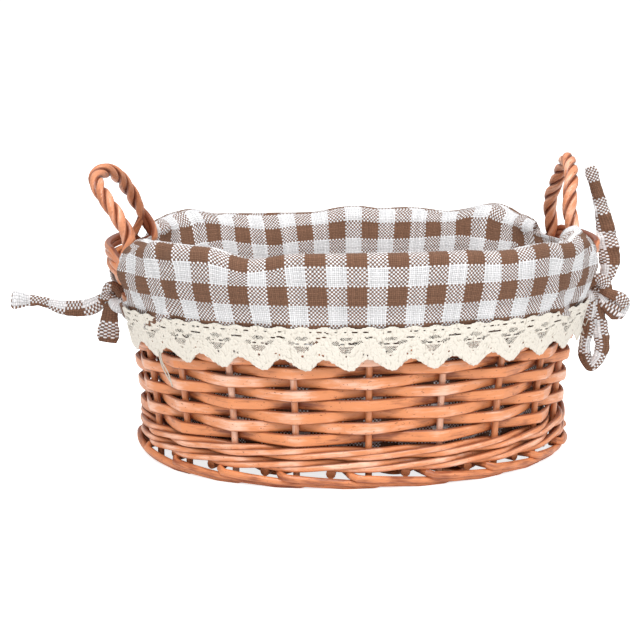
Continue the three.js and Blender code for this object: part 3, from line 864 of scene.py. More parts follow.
@dataclass(frozen=True)
class GinghamFinish:
    """A light cotton gingham of brown and white threads."""

    name: str = "gingham"
    dyed: tuple[float, float, float] = (0.205, 0.106, 0.066)
    undyed: tuple[float, float, float] = (0.775, 0.772, 0.782)
    threads: float = 10.0

    def material(self, weave: bpy.types.NodeTree) -> bpy.types.Material:
        """Makes the finish's material.

        Args:
            weave: the plain weave.

        Returns:
            The material.
        """
        surface = {"Roughness": 0.95, "Specular IOR Level": 0.15, "Sheen Weight": 0.05}
        colours = {"Dyed": self.dyed, "Undyed": self.undyed}
        sheet = FinishSheet(self.name, weave, colours, (0.5, 0.0003), surface)
        sheet.pattern.inputs["Threads"].default_value = self.threads
        sheet.follow("Checks", "checks")
        return sheet.material


@dataclass(frozen=True)
class LaceFinish:
    """Soft cream cotton, crocheted."""

    name: str = "cotton_lace"
    light: tuple[float, float, float] = (0.8, 0.75, 0.66)
    # dark: the colour of the painted shade between the stitches.
    dark: tuple[float, float, float] = (0.56, 0.51, 0.43)

    def material(self, stitches: bpy.types.NodeTree) -> bpy.types.Material:
        """Makes the finish's material.

        Args:
            stitches: the crochet stitches.

        Returns:
            The material.
        """
        surface = {"Roughness": 0.95, "Sheen Weight": 0.25}
        colours = {"Light": self.light, "Dark": self.dark}
        sheet = FinishSheet(self.name, stitches, colours, (0.7, 0.0006), surface)
        sheet.follow("Place", "motifs")
        return sheet.material


def make_finishes() -> dict[Slot, bpy.types.Material]:
    """Makes every finish once.

    Returns:
        The material of each slot.
    """
    grain = willow_grain_group()
    # The light colours are reached both by the grain's random tone and by the painted highlights on the
    # randing's ridges and the wale's outer sides.
    rods = WillowFinish("willow_rods", (0.29, 0.07, 0.023), (0.72, 0.262, 0.104), (0.97, 0.6, 0.44))
    split = WillowFinish("split_willow", (0.29, 0.07, 0.024), (0.76, 0.276, 0.104), (0.93, 0.58, 0.43))
    rope = WillowFinish("handle_willow", (0.22, 0.055, 0.02), (0.64, 0.24, 0.112), (0.93, 0.54, 0.38))
    return {
        Slot.WILLOW: rods.material(grain),
        Slot.SPLIT_WILLOW: split.material(grain),
        Slot.HANDLE_WILLOW: rope.material(grain),
        Slot.GINGHAM: GinghamFinish().material(plain_weave_group()),
        Slot.LACE: LaceFinish().material(crochet_group()),
    }


@dataclass
class Stakes:
    """The 20 upright rods, whose thin tops are laid down as the rim's border."""

    bench: Bench
    radius: float = 1.95
    border_radius: float = 1.9
    foot: float = 3.0
    border_step: float = 3.9
    border_out: float = 4.35

    def line(self, index: int) -> list[tuple[float, ...]]:
        """Gives the knots of a stake from its foot to its tucked-in tip.

        Args:
            index: the stake's own station.

        Returns:
            Knots of station, out, height and radius.
        """
        rim = self.bench.wall.rim_height
        turn = rim - 1.6 * self.border_radius
        slope = 1.05 * self.border_step
        under = rim - 1.84 * self.border_step
        out = self.border_out
        upright = [(0.0, 0.0, mix(self.foot, turn, share)) for share in (0, 0.35, 0.65, 0.85, 1)]
        laid = [
            (0.06, 0.4, rim - 0.35),
            (0.25, 0.3 * out, rim),
            (0.5, 0.62 * out, rim - 0.08 * slope),
            (1.0, out, rim - 0.55 * slope),
            (1.5, out, rim - 1.05 * slope),
            (2.0, out, rim - 1.55 * slope),
            (2.25, 0.9 * out, under),
            (2.5, 0.1 * out, under),
            (2.75, -0.8 * out, under),
            (3.1, -out, under),
        ]
        knots = [(index + run, off, height, self.radius) for run, off, height in upright]
        return knots + [(index + run, off, height, self.border_radius) for run, off, height in laid]

    def build(self) -> None:
        """Builds each stake as its own piece."""
        chance = random.Random(11)
        for index in range(STAKES):
            weft = Weft()
            rings = self.bench.rod(self.line(index), 4.0)
            weft.lay(rings, chance.random(), chance.uniform(0, GRAIN))
            self.bench.finish(weft.mesh, f"stake_{index + 1:02d}", Slot.WILLOW)


@dataclass
class Randing:
    """Rows of split willow, each in front of one stake and behind the next."""

    bench: Bench
    rows: int = 13
    floor: float = 24.8
    ceiling: float = 108.72
    thickness: float = 2.7
    swing: float = 4.1
    height_in_front: float = 7.4
    height_behind: float = 6.2
    lengths_in_row: int = 3
    overlap: float = 5 / 12
    climb_height: float = 2.0

    def rings(self, row: int, start: float, end: float, chance: random.Random) -> list[Ring]:
        """Lays one length of a row.

        Args:
            row: the row, counted from the bottom.
            start: the station where it starts.
            end: the station where it ends.
            chance: gives its small unevenness.

        Returns:
            The rings of the length.
        """
        pitch = (self.ceiling - self.floor) / self.rows
        level = self.floor + (row + 0.5) * pitch
        size = chance.uniform(0.95, 1.04)
        seed = chance.uniform(0, 100)
        count = round((end - start) * 12)
        rings = []
        for step in range(count + 1):
            run = start + (end - start) * step / count
            turn = (run + row) % 2
            wave = mix(-math.cos(math.pi * turn), 1 - 2 * abs(turn - 1), 0.85)
            high = mix(self.height_behind, self.height_in_front, (wave + 1) / 2) * size
            high *= 1 + 0.05 * noise_at(run * 1.7, row * 3.1, seed)
            rise = 0.35 * noise_at(run * 0.8, row * 5.7, seed) + self.climb(row, run)
            tuck = 0.7 * max(smooth_step(0.6, 0.0, run - start), smooth_step(0.6, 0.0, end - run))
            spot = self.bench.wall.spot(run, self.swing * wave - tuck, level + rise)
            outward = (spot.outward - Vector((0, 0, spot.lean))).normalized()
            # Painted highlight where the strip bends out in front of a stake, painted shade where it goes
            # in behind one.
            painted_ridge_highlight = smooth_step(0.35, 1.0, wave) * (0.75 + 0.5 * noise_at(run * 0.9, row * 2.3, seed))
            tone_and_painted_light = 0.5 * painted_ridge_highlight - 0.35 * smooth_step(0.2, -0.8, wave)
            rings.append(Ring(spot.point, outward, self.thickness / 2, high / 2, tone_and_painted_light))
        return rings

    def climb(self, row: int, run: float) -> float:
        """Gives how far a row rises towards the right of the front, which the top row doesn't.

        Args:
            row: the row, counted from the bottom.
            run: the station.

        Returns:
            The rise.
        """
        place = (run + HALF) % STAKES - HALF
        share = min(1.0, (row + 1.2) / 2.4, (self.rows - 1 - row) / 3)
        return self.climb_height * share * smooth_step(-1.2, 1.2, place) * smooth_step(5.0, 2.0, place)

    def build(self) -> None:
        """Builds each row as its own piece, of a few lengths that overlap behind a stake."""
        chance = random.Random(23)
        for row in range(self.rows):
            weft = Weft()
            behind = [i for i in range(STAKES) if (i + row) % 2 == 0]
            first = chance.randrange(len(behind))
            steps = [round(k * len(behind) / self.lengths_in_row) for k in range(self.lengths_in_row)]
            picks = [behind[(first + step) % len(behind)] for step in steps]
            for k, start in enumerate(picks):
                end = picks[(k + 1) % len(picks)]
                if end <= start:
                    end += STAKES
                rings = self.rings(row, start - self.overlap, end + self.overlap, chance)
                tone, shift = 0.1 + 0.7 * chance.random(), chance.uniform(0, GRAIN)
                # Painted shade along the strip's upper and lower edges.
                weft.lay(rings, tone, shift, sides=14, power=2.8, creased=Creased.EDGES)
            self.bench.finish(weft.mesh, f"randing_row_{row + 1:02d}", Slot.SPLIT_WILLOW)


@dataclass
class Wale:
    """Three rods that twist round the stakes at the bottom of the wall, two rounds high."""

    bench: Bench
    rounds: int = 2
    radius: float = 1.8
    rise: float = 1.92
    side: float = 3.9
    join: int = 10
    level: float = 13.2
    step: float = 3.3
    pitch: float = 7.2
    play: float = 0.15

    def build(self) -> None:
        """Builds each rod as its own piece."""
        chance = random.Random(37)
        side, half = self.side, self.step / 2
        pattern = [(-side, 0.0), (0.0, -half - self.play), (side, -half)]
        pattern += [(side, 0.0), (side, half), (0.0, half + self.play)]
        for index in range(3):
            knots = []
            run = 1.0 + index
            while run <= STAKES * self.rounds - 3 + index:
                out, rise = pattern[round(2 * (run - index)) % 6]
                climb = min(max(run - STAKES + 0.5, 0.0), 1.0) * self.pitch
                knots.append((self.join + run, out, self.level + rise + climb, self.radius))
                run += 0.5
            rings = []
            for station, out, height, radius in even_curve(knots, 5.0, WALL_WEIGHTS):
                spot = self.bench.wall.spot(station, out, height)
                # Painted light: the rods are paler where they bulge furthest out and darker further in,
                # where the shade falls.
                tone_and_painted_light = 0.3 * smooth_step(2.0, 4.0, out) - 0.15
                rings.append(Ring(spot.point, spot.outward, radius, self.rise, tone_and_painted_light))
            weft = Weft()
            tone, shift = chance.uniform(0.2, 0.8), chance.uniform(0, GRAIN)
            # Painted shade along the rod's upper and lower sides.
            weft.lay(rings, tone, shift, sides=12, creased=Creased.EDGES)
            self.bench.finish(weft.mesh, f"wale_rod_{index + 1}", Slot.WILLOW)


@dataclass
class FootBorder:
    """Short thick rods that bend along the edge of the base, in front of two and in under the third."""

    bench: Bench
    thick: float = 2.15
    thin: float = 1.6
    mid_out: float = 4.2
    step_out: float = 2.5
    tip_height: float = 0.91
    mid_height: float = 3.4
    top_height: float = 6.8
    crossing: float = 8.1

    def build(self) -> None:
        """Builds the whole border as one piece."""
        chance = random.Random(41)
        weft = Weft()
        far, near = self.mid_out + self.step_out, self.mid_out - self.step_out
        line = [
            (-0.3, -7.0, self.crossing - 0.3),
            (-0.26, -1.0, self.crossing),
            (-0.22, self.mid_out, self.crossing),
            (-0.14, far, self.top_height + 0.5),
            (0.0, far, self.top_height),
            (0.5, (far + self.mid_out) / 2, (self.top_height + self.mid_height) / 2),
            (1.0, self.mid_out, self.mid_height),
            (1.5, (self.mid_out + near) / 2, (self.mid_height + self.tip_height) / 2),
            (1.85, near + 0.3, self.tip_height),
            (2.0, near, self.tip_height),
            (2.12, near + 1, self.tip_height + 1.3),
        ]
        for index in range(STAKES):
            knots = [
                (index + run, out, height, mix(self.thick, self.thin, min(max(run, 0.0) / 2, 1.0)))
                for run, out, height in line
            ]
            rings = self.bench.rod(knots, 3.0)
            weft.lay(rings, 0.5 * chance.random() - 0.2, chance.uniform(0, GRAIN))
        for vert in weft.mesh.verts:
            vert.co.z = max(vert.co.z, 0.0)
        self.bench.finish(weft.mesh, "foot_border", Slot.WILLOW)


@dataclass
class Base:
    """Six cross sticks, four long sticks through them and two weavers wound out round their ends."""

    bench: Bench
    level: float = 7.8
    slath_half_length: float = 50.0
    slath_half_width: float = 13.0
    cross_radius: float = 2.8
    long_radius: float = 1.7
    weaver_width: float = 6.8
    weaver_pitch: float = 8.2
    weaver_thickness: float = 3.0
    turns: float = 3.6
    edge: float = 9.0
    play: float = 0.3
    air: float = 0.3
    oval: tuple[float, float] = (126.0, 96.0)

    @staticmethod
    def quarter(station: float) -> float:
        """Gives the stations from the nearer long side's middle."""
        in_half = station % HALF
        return min(in_half, HALF - in_half)

    def stick_half(self, station: float) -> tuple[Vector, Vector]:
        """Finds half a stick.

        Args:
            station: the stick's station.

        Returns:
            Its inner and its outer end.
        """
        wall = self.bench.wall
        inner = wall.oval(self.slath_half_length, self.slath_half_width, station, self.level)[0]
        if self.quarter(station) > 3:
            lane = 1 if abs(self.quarter(station) - 4.5) < 0.1 else 3
            inner.y = math.copysign(lane * (2 * self.long_radius + self.air) / 2, inner.y)
        return inner, wall.spot(station, 0, self.level).point

    def stick(self, points: Sequence[Vector], radius: float, node: str, chance: random.Random) -> None:
        """Builds one stick.

        Args:
            points: the ends and bends of its line.
            radius: its radius.
            node: the solid that it stands for.
            chance: gives its tone.
        """
        line = even_curve([(*point, radius) for point in points], 6.0, SPACE_WEIGHTS)
        rings = [Ring(Vector((x, y, z)), UP, size, size) for x, y, z, size in line]
        weft = Weft()
        # Tone kept low: painted shade, as the sticks lie under the basket.
        weft.lay(rings, 0.3 * chance.random(), chance.uniform(0, GRAIN))
        self.bench.finish(weft.mesh, node, Slot.WILLOW)

    def weaver(self, phase: int, chance: random.Random) -> None:
        """Builds one weaver, which crosses over one stick and under the next, further in at each.

        Args:
            phase: 0 or 1, for the two weavers.
            chance: gives its tone.
        """
        knots = []
        for step in range(round(self.turns * STAKES) + 1):
            station = step + phase * HALF + 0.5
            edge = self.edge + 2 * self.weaver_pitch * step / STAKES
            inner, end = self.stick_half(station)
            point = end.lerp(inner, edge / (self.bench.wall.foot_half_width - self.slath_half_width))
            radius = self.long_radius if self.quarter(station) > 3 else self.cross_radius
            reach = radius + self.weaver_thickness / 2 + self.air + self.play
            point.z += reach if (step + phase) % 2 == 0 else -reach
            knots.append((*point, 0.0))
        rings = []
        for x, y, z, _ in even_curve(knots, 3.0, SPACE_WEIGHTS):
            outward = Vector((x / self.oval[0] ** 2, y / self.oval[1] ** 2, 0)).normalized()
            rings.append(Ring(Vector((x, y, z)), outward, self.weaver_width / 2, self.weaver_thickness / 2))
        weft = Weft()
        # Tone kept low as painted shade under the basket, and painted shade along the weaver's edges.
        weft.lay(rings, 0.25 * chance.random(), chance.uniform(0, GRAIN), power=2.6, creased=Creased.EDGES)
        self.bench.finish(weft.mesh, f"base_weaver_{phase + 1}", Slot.SPLIT_WILLOW)

    def build(self) -> None:
        """Builds the sticks and the weavers, each as its own piece."""
        chance = random.Random(53)
        for i, station in enumerate((-2.5, -1.5, -0.5, 0.5, 1.5, 2.5)):
            front, back = self.stick_half(station), self.stick_half(HALF - station)
            points = [front[1], front[0], back[0], back[1]]
            self.stick(points, self.cross_radius, f"base_cross_stick_{i + 1}", chance)
        for i, station in enumerate((3.5, 4.5, 5.5, 6.5)):
            right, left = self.stick_half(station), self.stick_half(2 * STAKES - station)
            points = [left[1], left[0], right[0], right[1]]
            self.stick(points, self.long_radius, f"base_long_stick_{i + 1}", chance)
        for phase in range(2):
            self.weaver(phase, chance)


@dataclass
class Handle:
    """Three strands laid as a rope, bent over as an upright ear."""

    bench: Bench
    name: str
    side: int
    arch: Sequence[tuple[float, float, float]]
    apart: float = 0.0
    station: float = 3.85
    root_height: float = 121.5
    lay: float = 38.0
    radius: float = 2.1
    offset: float = 2.45
    leg_out: float = 6.0
    leg_foot: float = 111.6

    def centre_line(self) -> list[Vector]:
        """Draws the rope's middle line.

        Returns:
            Its points from the front leg to the back leg.
        """
        root = self.bench.wall.spot(self.station, 0.5, self.root_height).point
        points = [(root.x, root.y, root.z), *self.arch, (root.x, -root.y, root.z)]
        knots = [(self.side * out, y, z) for out, y, z in points]
        return [Vector(point) for point in even_curve(knots, 2.0, (1.0, 1.0, 1.0))]

    def strand(self, index: int, line: Sequence[Vector], chance: random.Random) -> None:
        """Builds one strand.

        Args:
            index: which of the three it is.
            line: the rope's middle line.
            chance: gives its tone.
        """
        whole = sum((b - a).length for a, b in zip(line, line[1:]))
        turns = round(whole / self.lay)
        reached = 0.0
        rings = []
        for i, centre in enumerate(line):
            before, after = line[max(i - 1, 0)], line[min(i + 1, len(line) - 1)]
            along = (after - before).normalized()
            reached += (centre - before).length if i else 0.0
            first = Vector((self.side, 0, 0)) - self.side * along.x * along
            first.normalize()
            second = along.cross(first)
            angle = 2 * math.pi * (turns * reached / whole + index / 3)
            outward = math.cos(angle) * first + math.sin(angle) * second
            size = self.radius * (1 + 0.2 * noise_at(reached * 0.07, index * 3.0, self.side))
            apart = smooth_step(0.8, 1.0, reached / whole) * self.apart * (index > 0)
            place = centre + self.offset * outward - Vector((self.side * apart, 0.0, 0.0))
            # Random tone along the strand, no painted light.
            tone_and_painted_light = 0.6 * noise_at(reached * 0.09, index * 5.0, self.side + 7.0)
            rings.append(Ring(place, outward, 0.93 * size, 1.14 * size, tone_and_painted_light))
        if index == 0:
            front, back = self.side * self.station, HALF - self.side * self.station
            rings = self.leg(front) + rings + self.leg(back)[::-1]
        else:
            rings += self.tail(index)
        weft = Weft()
        tone, shift = chance.uniform(0.2, 0.8), chance.uniform(0, GRAIN)
        # Painted shade where the strands lie on each other.
        weft.lay(rings, tone, shift, sides=16, power=2.3, creased=Creased.INSIDE)
        self.bench.finish(weft.mesh, f"handle_{self.name}_strand_{index + 1}", Slot.HANDLE_WILLOW)

    def tail(self, index: int) -> list[Ring]:
        """Lays a strand's end back along the border to the front leg.

        Args:
            index: which of the three strands it is, 1 or 2.

        Returns:
            The rings of the end.
        """
        start, end = HALF - self.station + 0.12, self.station + 0.25
        further, higher = (1.6, 2.9) if index == 1 else (0.6, 6.4)
        steps = 32
        rings = []
        for step in range(steps + 1):
            station = self.side * mix(start, end, step / steps)
            rise = smooth_step(0.0, 4.0, step) * smooth_step(0.0, 3.0, steps - step)
            out, height = 1.0 + further * rise, 119.5 + higher * rise
            rings.append(self.bench.ring(station, out, height, 0.95 * self.radius))
        return rings

    def leg(self, station: float) -> list[Ring]:
        """Gives the rings of the strand that goes down outside the border."""
        places = [(self.leg_out, self.leg_foot), (self.leg_out, 116.1), (self.leg_out - 1.2, 121.4)]
        return [self.bench.ring(station, out, height, self.radius) for out, height in places]

    def build(self) -> None:
        """Builds the three strands, each as its own piece."""
        chance = random.Random(61 + self.side)
        line = self.centre_line()
        for index in range(3):
            self.strand(index, line, chance)


ClothPlaces = dict[bmesh.types.BMVert, tuple[int, int, float]]  # column, row and checks across


@dataclass
class Liner:
    """A gingham bag that lines the wall, folded over the border and hanging outside as a cuff."""

    bench: Bench
    cloth_out: float = 7.55
    floor_height: float = 15.5
    border_top: float = 120.4
    edge_station: float = 3.62
    hem: float = 84.0
    thickness: float = 0.9
    first_check: float = 1.233
    checks_round: int = 78
    checks_inside: int = 70
    check_line: float = 106.5
    held: float = 2.9
    back_edge: float = 4.92
    floor_rows: int = 12
    steps: Sequence[int] = (4, 10, 12, 12, 9, 5, 5, 5, 8, 10, 6)
    crests: Sequence[tuple[float, float]] = (
        (0.0, 134.0), (1.0, 134.0), (1.6, 132.5), (2.3, 134.5), (2.75, 133.0), (3.15, 137.5),
        (3.4, 139.6), (3.7, 137.0), (4.3, 128.0), (5.0, 126.5), (5.8, 127.0), (6.4, 129.0),
        (7.0, 131.0), (7.55, 136.4), (8.4, 129.9), (9.0, 131.8), (9.45, 131.0), (9.8, 132.6),
        (10.45, 128.6), (11.2, 129.2), (11.85, 130.2), (12.4, 134.8), (13.2, 131.8), (13.7, 130.5),
        (14.3, 127.0), (15.0, 126.0), (15.8, 127.5), (16.35, 134.0), (16.7, 135.5), (16.95, 135.0),
        (17.2, 137.0), (18.0, 136.0), (18.6, 130.2), (19.2, 133.6),
    )

    def crest(self, station: float) -> float:
        """Finds the height of the fold's crest.

        Args:
            station: the station.

        Returns:
            The height there.
        """
        place = station % STAKES
        around = [*self.crests, (STAKES + self.crests[0][0], self.crests[0][1])]
        for (low, a), (high, b) in zip(around, around[1:]):
            if low <= place <= high:
                return mix(a, b, smooth_step(low, high, place))
        return self.crests[0][1]

    def even_crest(self, station: float) -> float:
        """Gives the crest's height without its short rises, which the checks inside don't follow."""
        return sum(self.crest(station + shift / 5) for shift in range(-5, 6)) / 11

    @staticmethod
    def side_middle(station: float) -> float:
        """Gives the middle of the long side that a column belongs to."""
        return 0.0 if station < QUARTER else HALF

    @staticmethod
    def off_middle(station: float) -> float:
        """Gives the stations to the middle of the nearer long side."""
        return abs((station + QUARTER) % HALF - QUARTER)

    def columns(self) -> list[float]:
        """Divides the cloth into columns, most of them between the ends' splits.

        Returns:
            Their stations, from the left end round the front and back to it.
        """
        stations = []
        for middle in (0.0, HALF):
            cuts = [(-QUARTER, -self.edge_station, 16), (-self.edge_station, self.edge_station, 150)]
            cuts.append((self.edge_station, QUARTER, 16))
            for low, high, count in cuts:
                stations += [middle + mix(low, high, i / count) for i in range(count)]
        return [*stations, HALF + QUARTER]

    def profile(self, station: float, crest: float) -> list[tuple[float, float]]:
        """Draws the cloth's line from the floor's edge up the inside, over the border and down the cuff.

        Args:
            station: where it is cut through.
            crest: the height of its fold there.

        Returns:
            The out and the height of each row.
        """
        rim = self.bench.wall.rim_height
        out = self.cloth_out
        lean = smooth_step(2.7, 3.5, self.off_middle(station))
        back = abs(station - HALF) < QUARTER
        pinch = smooth_step(3.2, 3.56, self.off_middle(station)) if back else 0.0
        over = smooth_step(3.1, 3.6, self.off_middle(station))
        lower = lean * min(crest - 130, 8.0) if crest > 130 else 0.0
        puff = 0.9 + 0.8 * noise_at(station * 0.9, 0.5, 2.0)
        knots = [
            (-out - 2.5, self.floor_height + 0.4),
            (-out - 0.6, self.floor_height + 7),
            (-out - 0.5, 0.42 * rim),
            (-out - 0.5, 0.72 * rim),
            (-out - 0.9 - 2 * (lean - pinch), rim),
            (mix(-0.62 * out - 9 * lean, -9.6, pinch), crest - 2.3),
            (mix(-9 * lean, -8.9, pinch), crest),
            (mix(0.65 * out - 7.5 * lean, -8.2, pinch), crest - 0.8 - 0.35 * lower - 1.5 * pinch),
            (mix(out + puff - 4.5 * lean, -7.6, pinch), mix(crest - 5.5 - 0.4 * lower, 122.6, pinch)),
            (out + 0.4 + puff * (1 - lean) + 0.2 * over, self.border_top - 4),
            (out + 0.1 + 0.2 * over, 97.0),
            (out - 0.3, self.hem),
        ]
        line = curve_through(knots, self.steps, (1.0, 1.0))
        return [(off + self.wrinkle(station, off, height), height) for off, height in line]

    def wrinkle(self, station: float, out: float, height: float) -> float:
        """Finds how far the cloth stands off its plain line, inwards inside and outwards on the cuff.

        Args:
            station: the place round the wall.
            out: the distance outside the stakes' oval.
            height: the height.

        Returns:
            How much is added to out.
        """
        if out < 0:
            share = smooth_step(25, 110, height) * smooth_step(0.0, -3.0, out)
            fold = noise_at(station * 1.15, height * 0.012, 5.0)
            fine = noise_at(station * 2.9, height * 0.03, 9.0)
            return -share * (3.4 * max(fold + 0.15, 0.0) + 1.2 * max(fine, 0.0))
        share = smooth_step(0.0, 4.0, out)
        ripple = noise_at(station * 1.3, height * 0.03, 21.0)
        fine = noise_at(station * 3.1, height * 0.05, 27.0)
        off = self.off_middle(station)
        run = off * STAKE_GAP
        drawn = noise_at((run + height * 0.9) * 0.11, (run - height) * 0.012, 33.0)
        return share * (1.6 * ripple + 0.6 * fine + 2.8 * smooth_step(1.7, 3.1, off) * drawn)

    def outer_station(self, station: float, height: float) -> float:
        """Spreads the cuff's ends towards the ties, further the lower they are.

        Args:
            station: the column's station.
            height: the height on the cuff.

        Returns:
            The station where the cloth lies.
        """
        middle = self.side_middle(station)
        off = station - middle
        if abs(off) <= self.held:
            return station
        edge = self.edge_station + 0.23 * smooth_step(133, 120, height)
        edge += 0.97 * smooth_step(101, 88, height)
        if middle > 0:
            edge = mix(edge, self.back_edge, smooth_step(120, 104, height))
        stretch = (edge - self.held) / (self.edge_station - self.held)
        return middle + math.copysign(self.held + (abs(off) - self.held) * stretch, off)

    def gathered(self, station: float, height: float) -> float:
        """Finds the cloth's own station at a place, as the ties draw it towards the ends at the fold.

        Args:
            station: the place round the wall.
            height: the height.

        Returns:
            The station at which that bit of cloth would lie undrawn.
        """
        middle = self.side_middle(station)
        off = abs(station - middle)
        draw = 0.075 * smooth_step(0.8, 1.9, off) + 0.1 * max(0.0, off - 2.4) ** 2
        return station + math.copysign(draw * smooth_step(112, 128, height), station - middle)

    def build(self) -> None:
        """Builds the liner as one sheet of cloth."""
        stations = self.columns()
        profiles = [self.profile(station, self.crest(station)) for station in stations]
        even = [self.profile(station, self.even_crest(station)) for station in stations]
        wide, high = len(stations) - 1, self.floor_rows + len(profiles[0]) - 1
        mesh = bmesh.new()
        bmesh.ops.create_grid(mesh, x_segments=wide, y_segments=high, size=1.0)
        layer = mesh.loops.layers.uv.new("checks")
        places = self.drape(mesh, stations, profiles)
        self.lay_checks(mesh, layer, places, even)
        doomed = []
        for face in mesh.faces:
            lowest = min(places[vert][1] for vert in face.verts)
            middle = sum(stations[places[vert][0]] for vert in face.verts) / 4
            off = abs(middle - self.side_middle(middle))
            if lowest >= sum(self.steps[:4]) + 5 and off > self.edge_station:
                doomed.append(face)
        bmesh.ops.delete(mesh, geom=doomed, context="FACES")
        bmesh.ops.remove_doubles(mesh, verts=mesh.verts, dist=0.001)
        floor = self.floor_height + 0.6
        edges = [edge for edge in mesh.edges if edge.is_boundary and edge.verts[0].co.z < floor]
        edges = [edge for edge in edges if edge.verts[0].co.length < 40]
        bmesh.ops.contextual_create(mesh, geom=edges)
        area = sum(face.calc_area() for face in mesh.faces) * MM * MM
        piece = self.bench.sheet(mesh, "liner", Slot.GINGHAM, self.thickness)

    def drape(
        self,
        mesh: bmesh.types.BMesh,
        stations: Sequence[float],
        profiles: Sequence[Sequence[tuple[float, float]]],
    ) -> ClothPlaces:
        """Moves the corners of a flat grid to where the cloth lies.

        Args:
            mesh: the grid.
            stations: the station of each column.
            profiles: the cloth's line at each column.

        Returns:
            The column, row and checks across from the front of each corner.
        """
        wall = self.bench.wall
        girth = Girth(wall, self.cloth_out, 112.0)
        wide, high = len(stations) - 1, self.floor_rows + len(profiles[0]) - 1
        places: ClothPlaces = {}
        for vert in mesh.verts:
            column = round((vert.co.x + 1) / 2 * wide)
            row = round((vert.co.y + 1) / 2 * high) - self.floor_rows
            station = stations[column]
            out, height = profiles[column][max(row, 0)]
            if row < 0:
                edge = wall.spot(station, out, height).point
                share = mix(0.04, 1.0, (row + self.floor_rows) / self.floor_rows)
                vert.co = (edge.x * share, edge.y * share, height)
                places[vert] = (column, row, 0.0)
                continue
            if out > 0 and row > sum(self.steps[:6]):
                station = self.outer_station(station, height)
            vert.co = wall.spot(station, out, height).point
            drawn = self.gathered(station, height)
            across = self.checks_round * girth.at(drawn) / girth.whole + self.first_check
            places[vert] = (column, row, across)
        return places

    def lay_checks(
        self,
        mesh: bmesh.types.BMesh,
        layer: bmesh.types.BMLayerItem,
        places: ClothPlaces,
        profiles: Sequence[Sequence[tuple[float, float]]],
    ) -> None:
        """Args:
            mesh: the cloth.
            layer: its checks, as a UV map.
            places: the column, row and checks across from the front of each corner.
            profiles: the cloth's line at each column, with an even crest.
        """
        reached = []
        for line in profiles:
            lengths = [0.0]
            for (a, b), (c, d) in zip(line, line[1:]):
                lengths.append(lengths[-1] + math.hypot(c - a, d - b))
            start = next(i for i, (out, height) in enumerate(line) if out > 5 and height < self.check_line)
            share = (line[start - 1][1] - self.check_line) / (line[start - 1][1] - line[start][1])
            zero = mix(lengths[start - 1], lengths[start], share)
            reached.append([(zero - length) / CHECK for length in lengths])
        narrower = self.checks_inside / self.checks_round
        for face in mesh.faces:
            corners = [places[vert] for vert in face.verts]
            flat = min(row for _, row, _ in corners) < 0
            mean = sum(across for _, _, across in corners) / len(corners)
            at_back = mean > self.first_check + self.checks_round / 4
            middle = self.first_check + (self.checks_round / 2 if at_back else 0)
            for loop in face.loops:
                column, row, across = places[loop.vert]
                if flat:
                    loop[layer].uv = (loop.vert.co.x / CHECK, loop.vert.co.y / CHECK)
                    continue
                kept = mix(1.0, narrower, smooth_step(1.0, -4.5, profiles[column][row][0]))
                loop[layer].uv = (middle + (across - middle) * kept, reached[column][row])


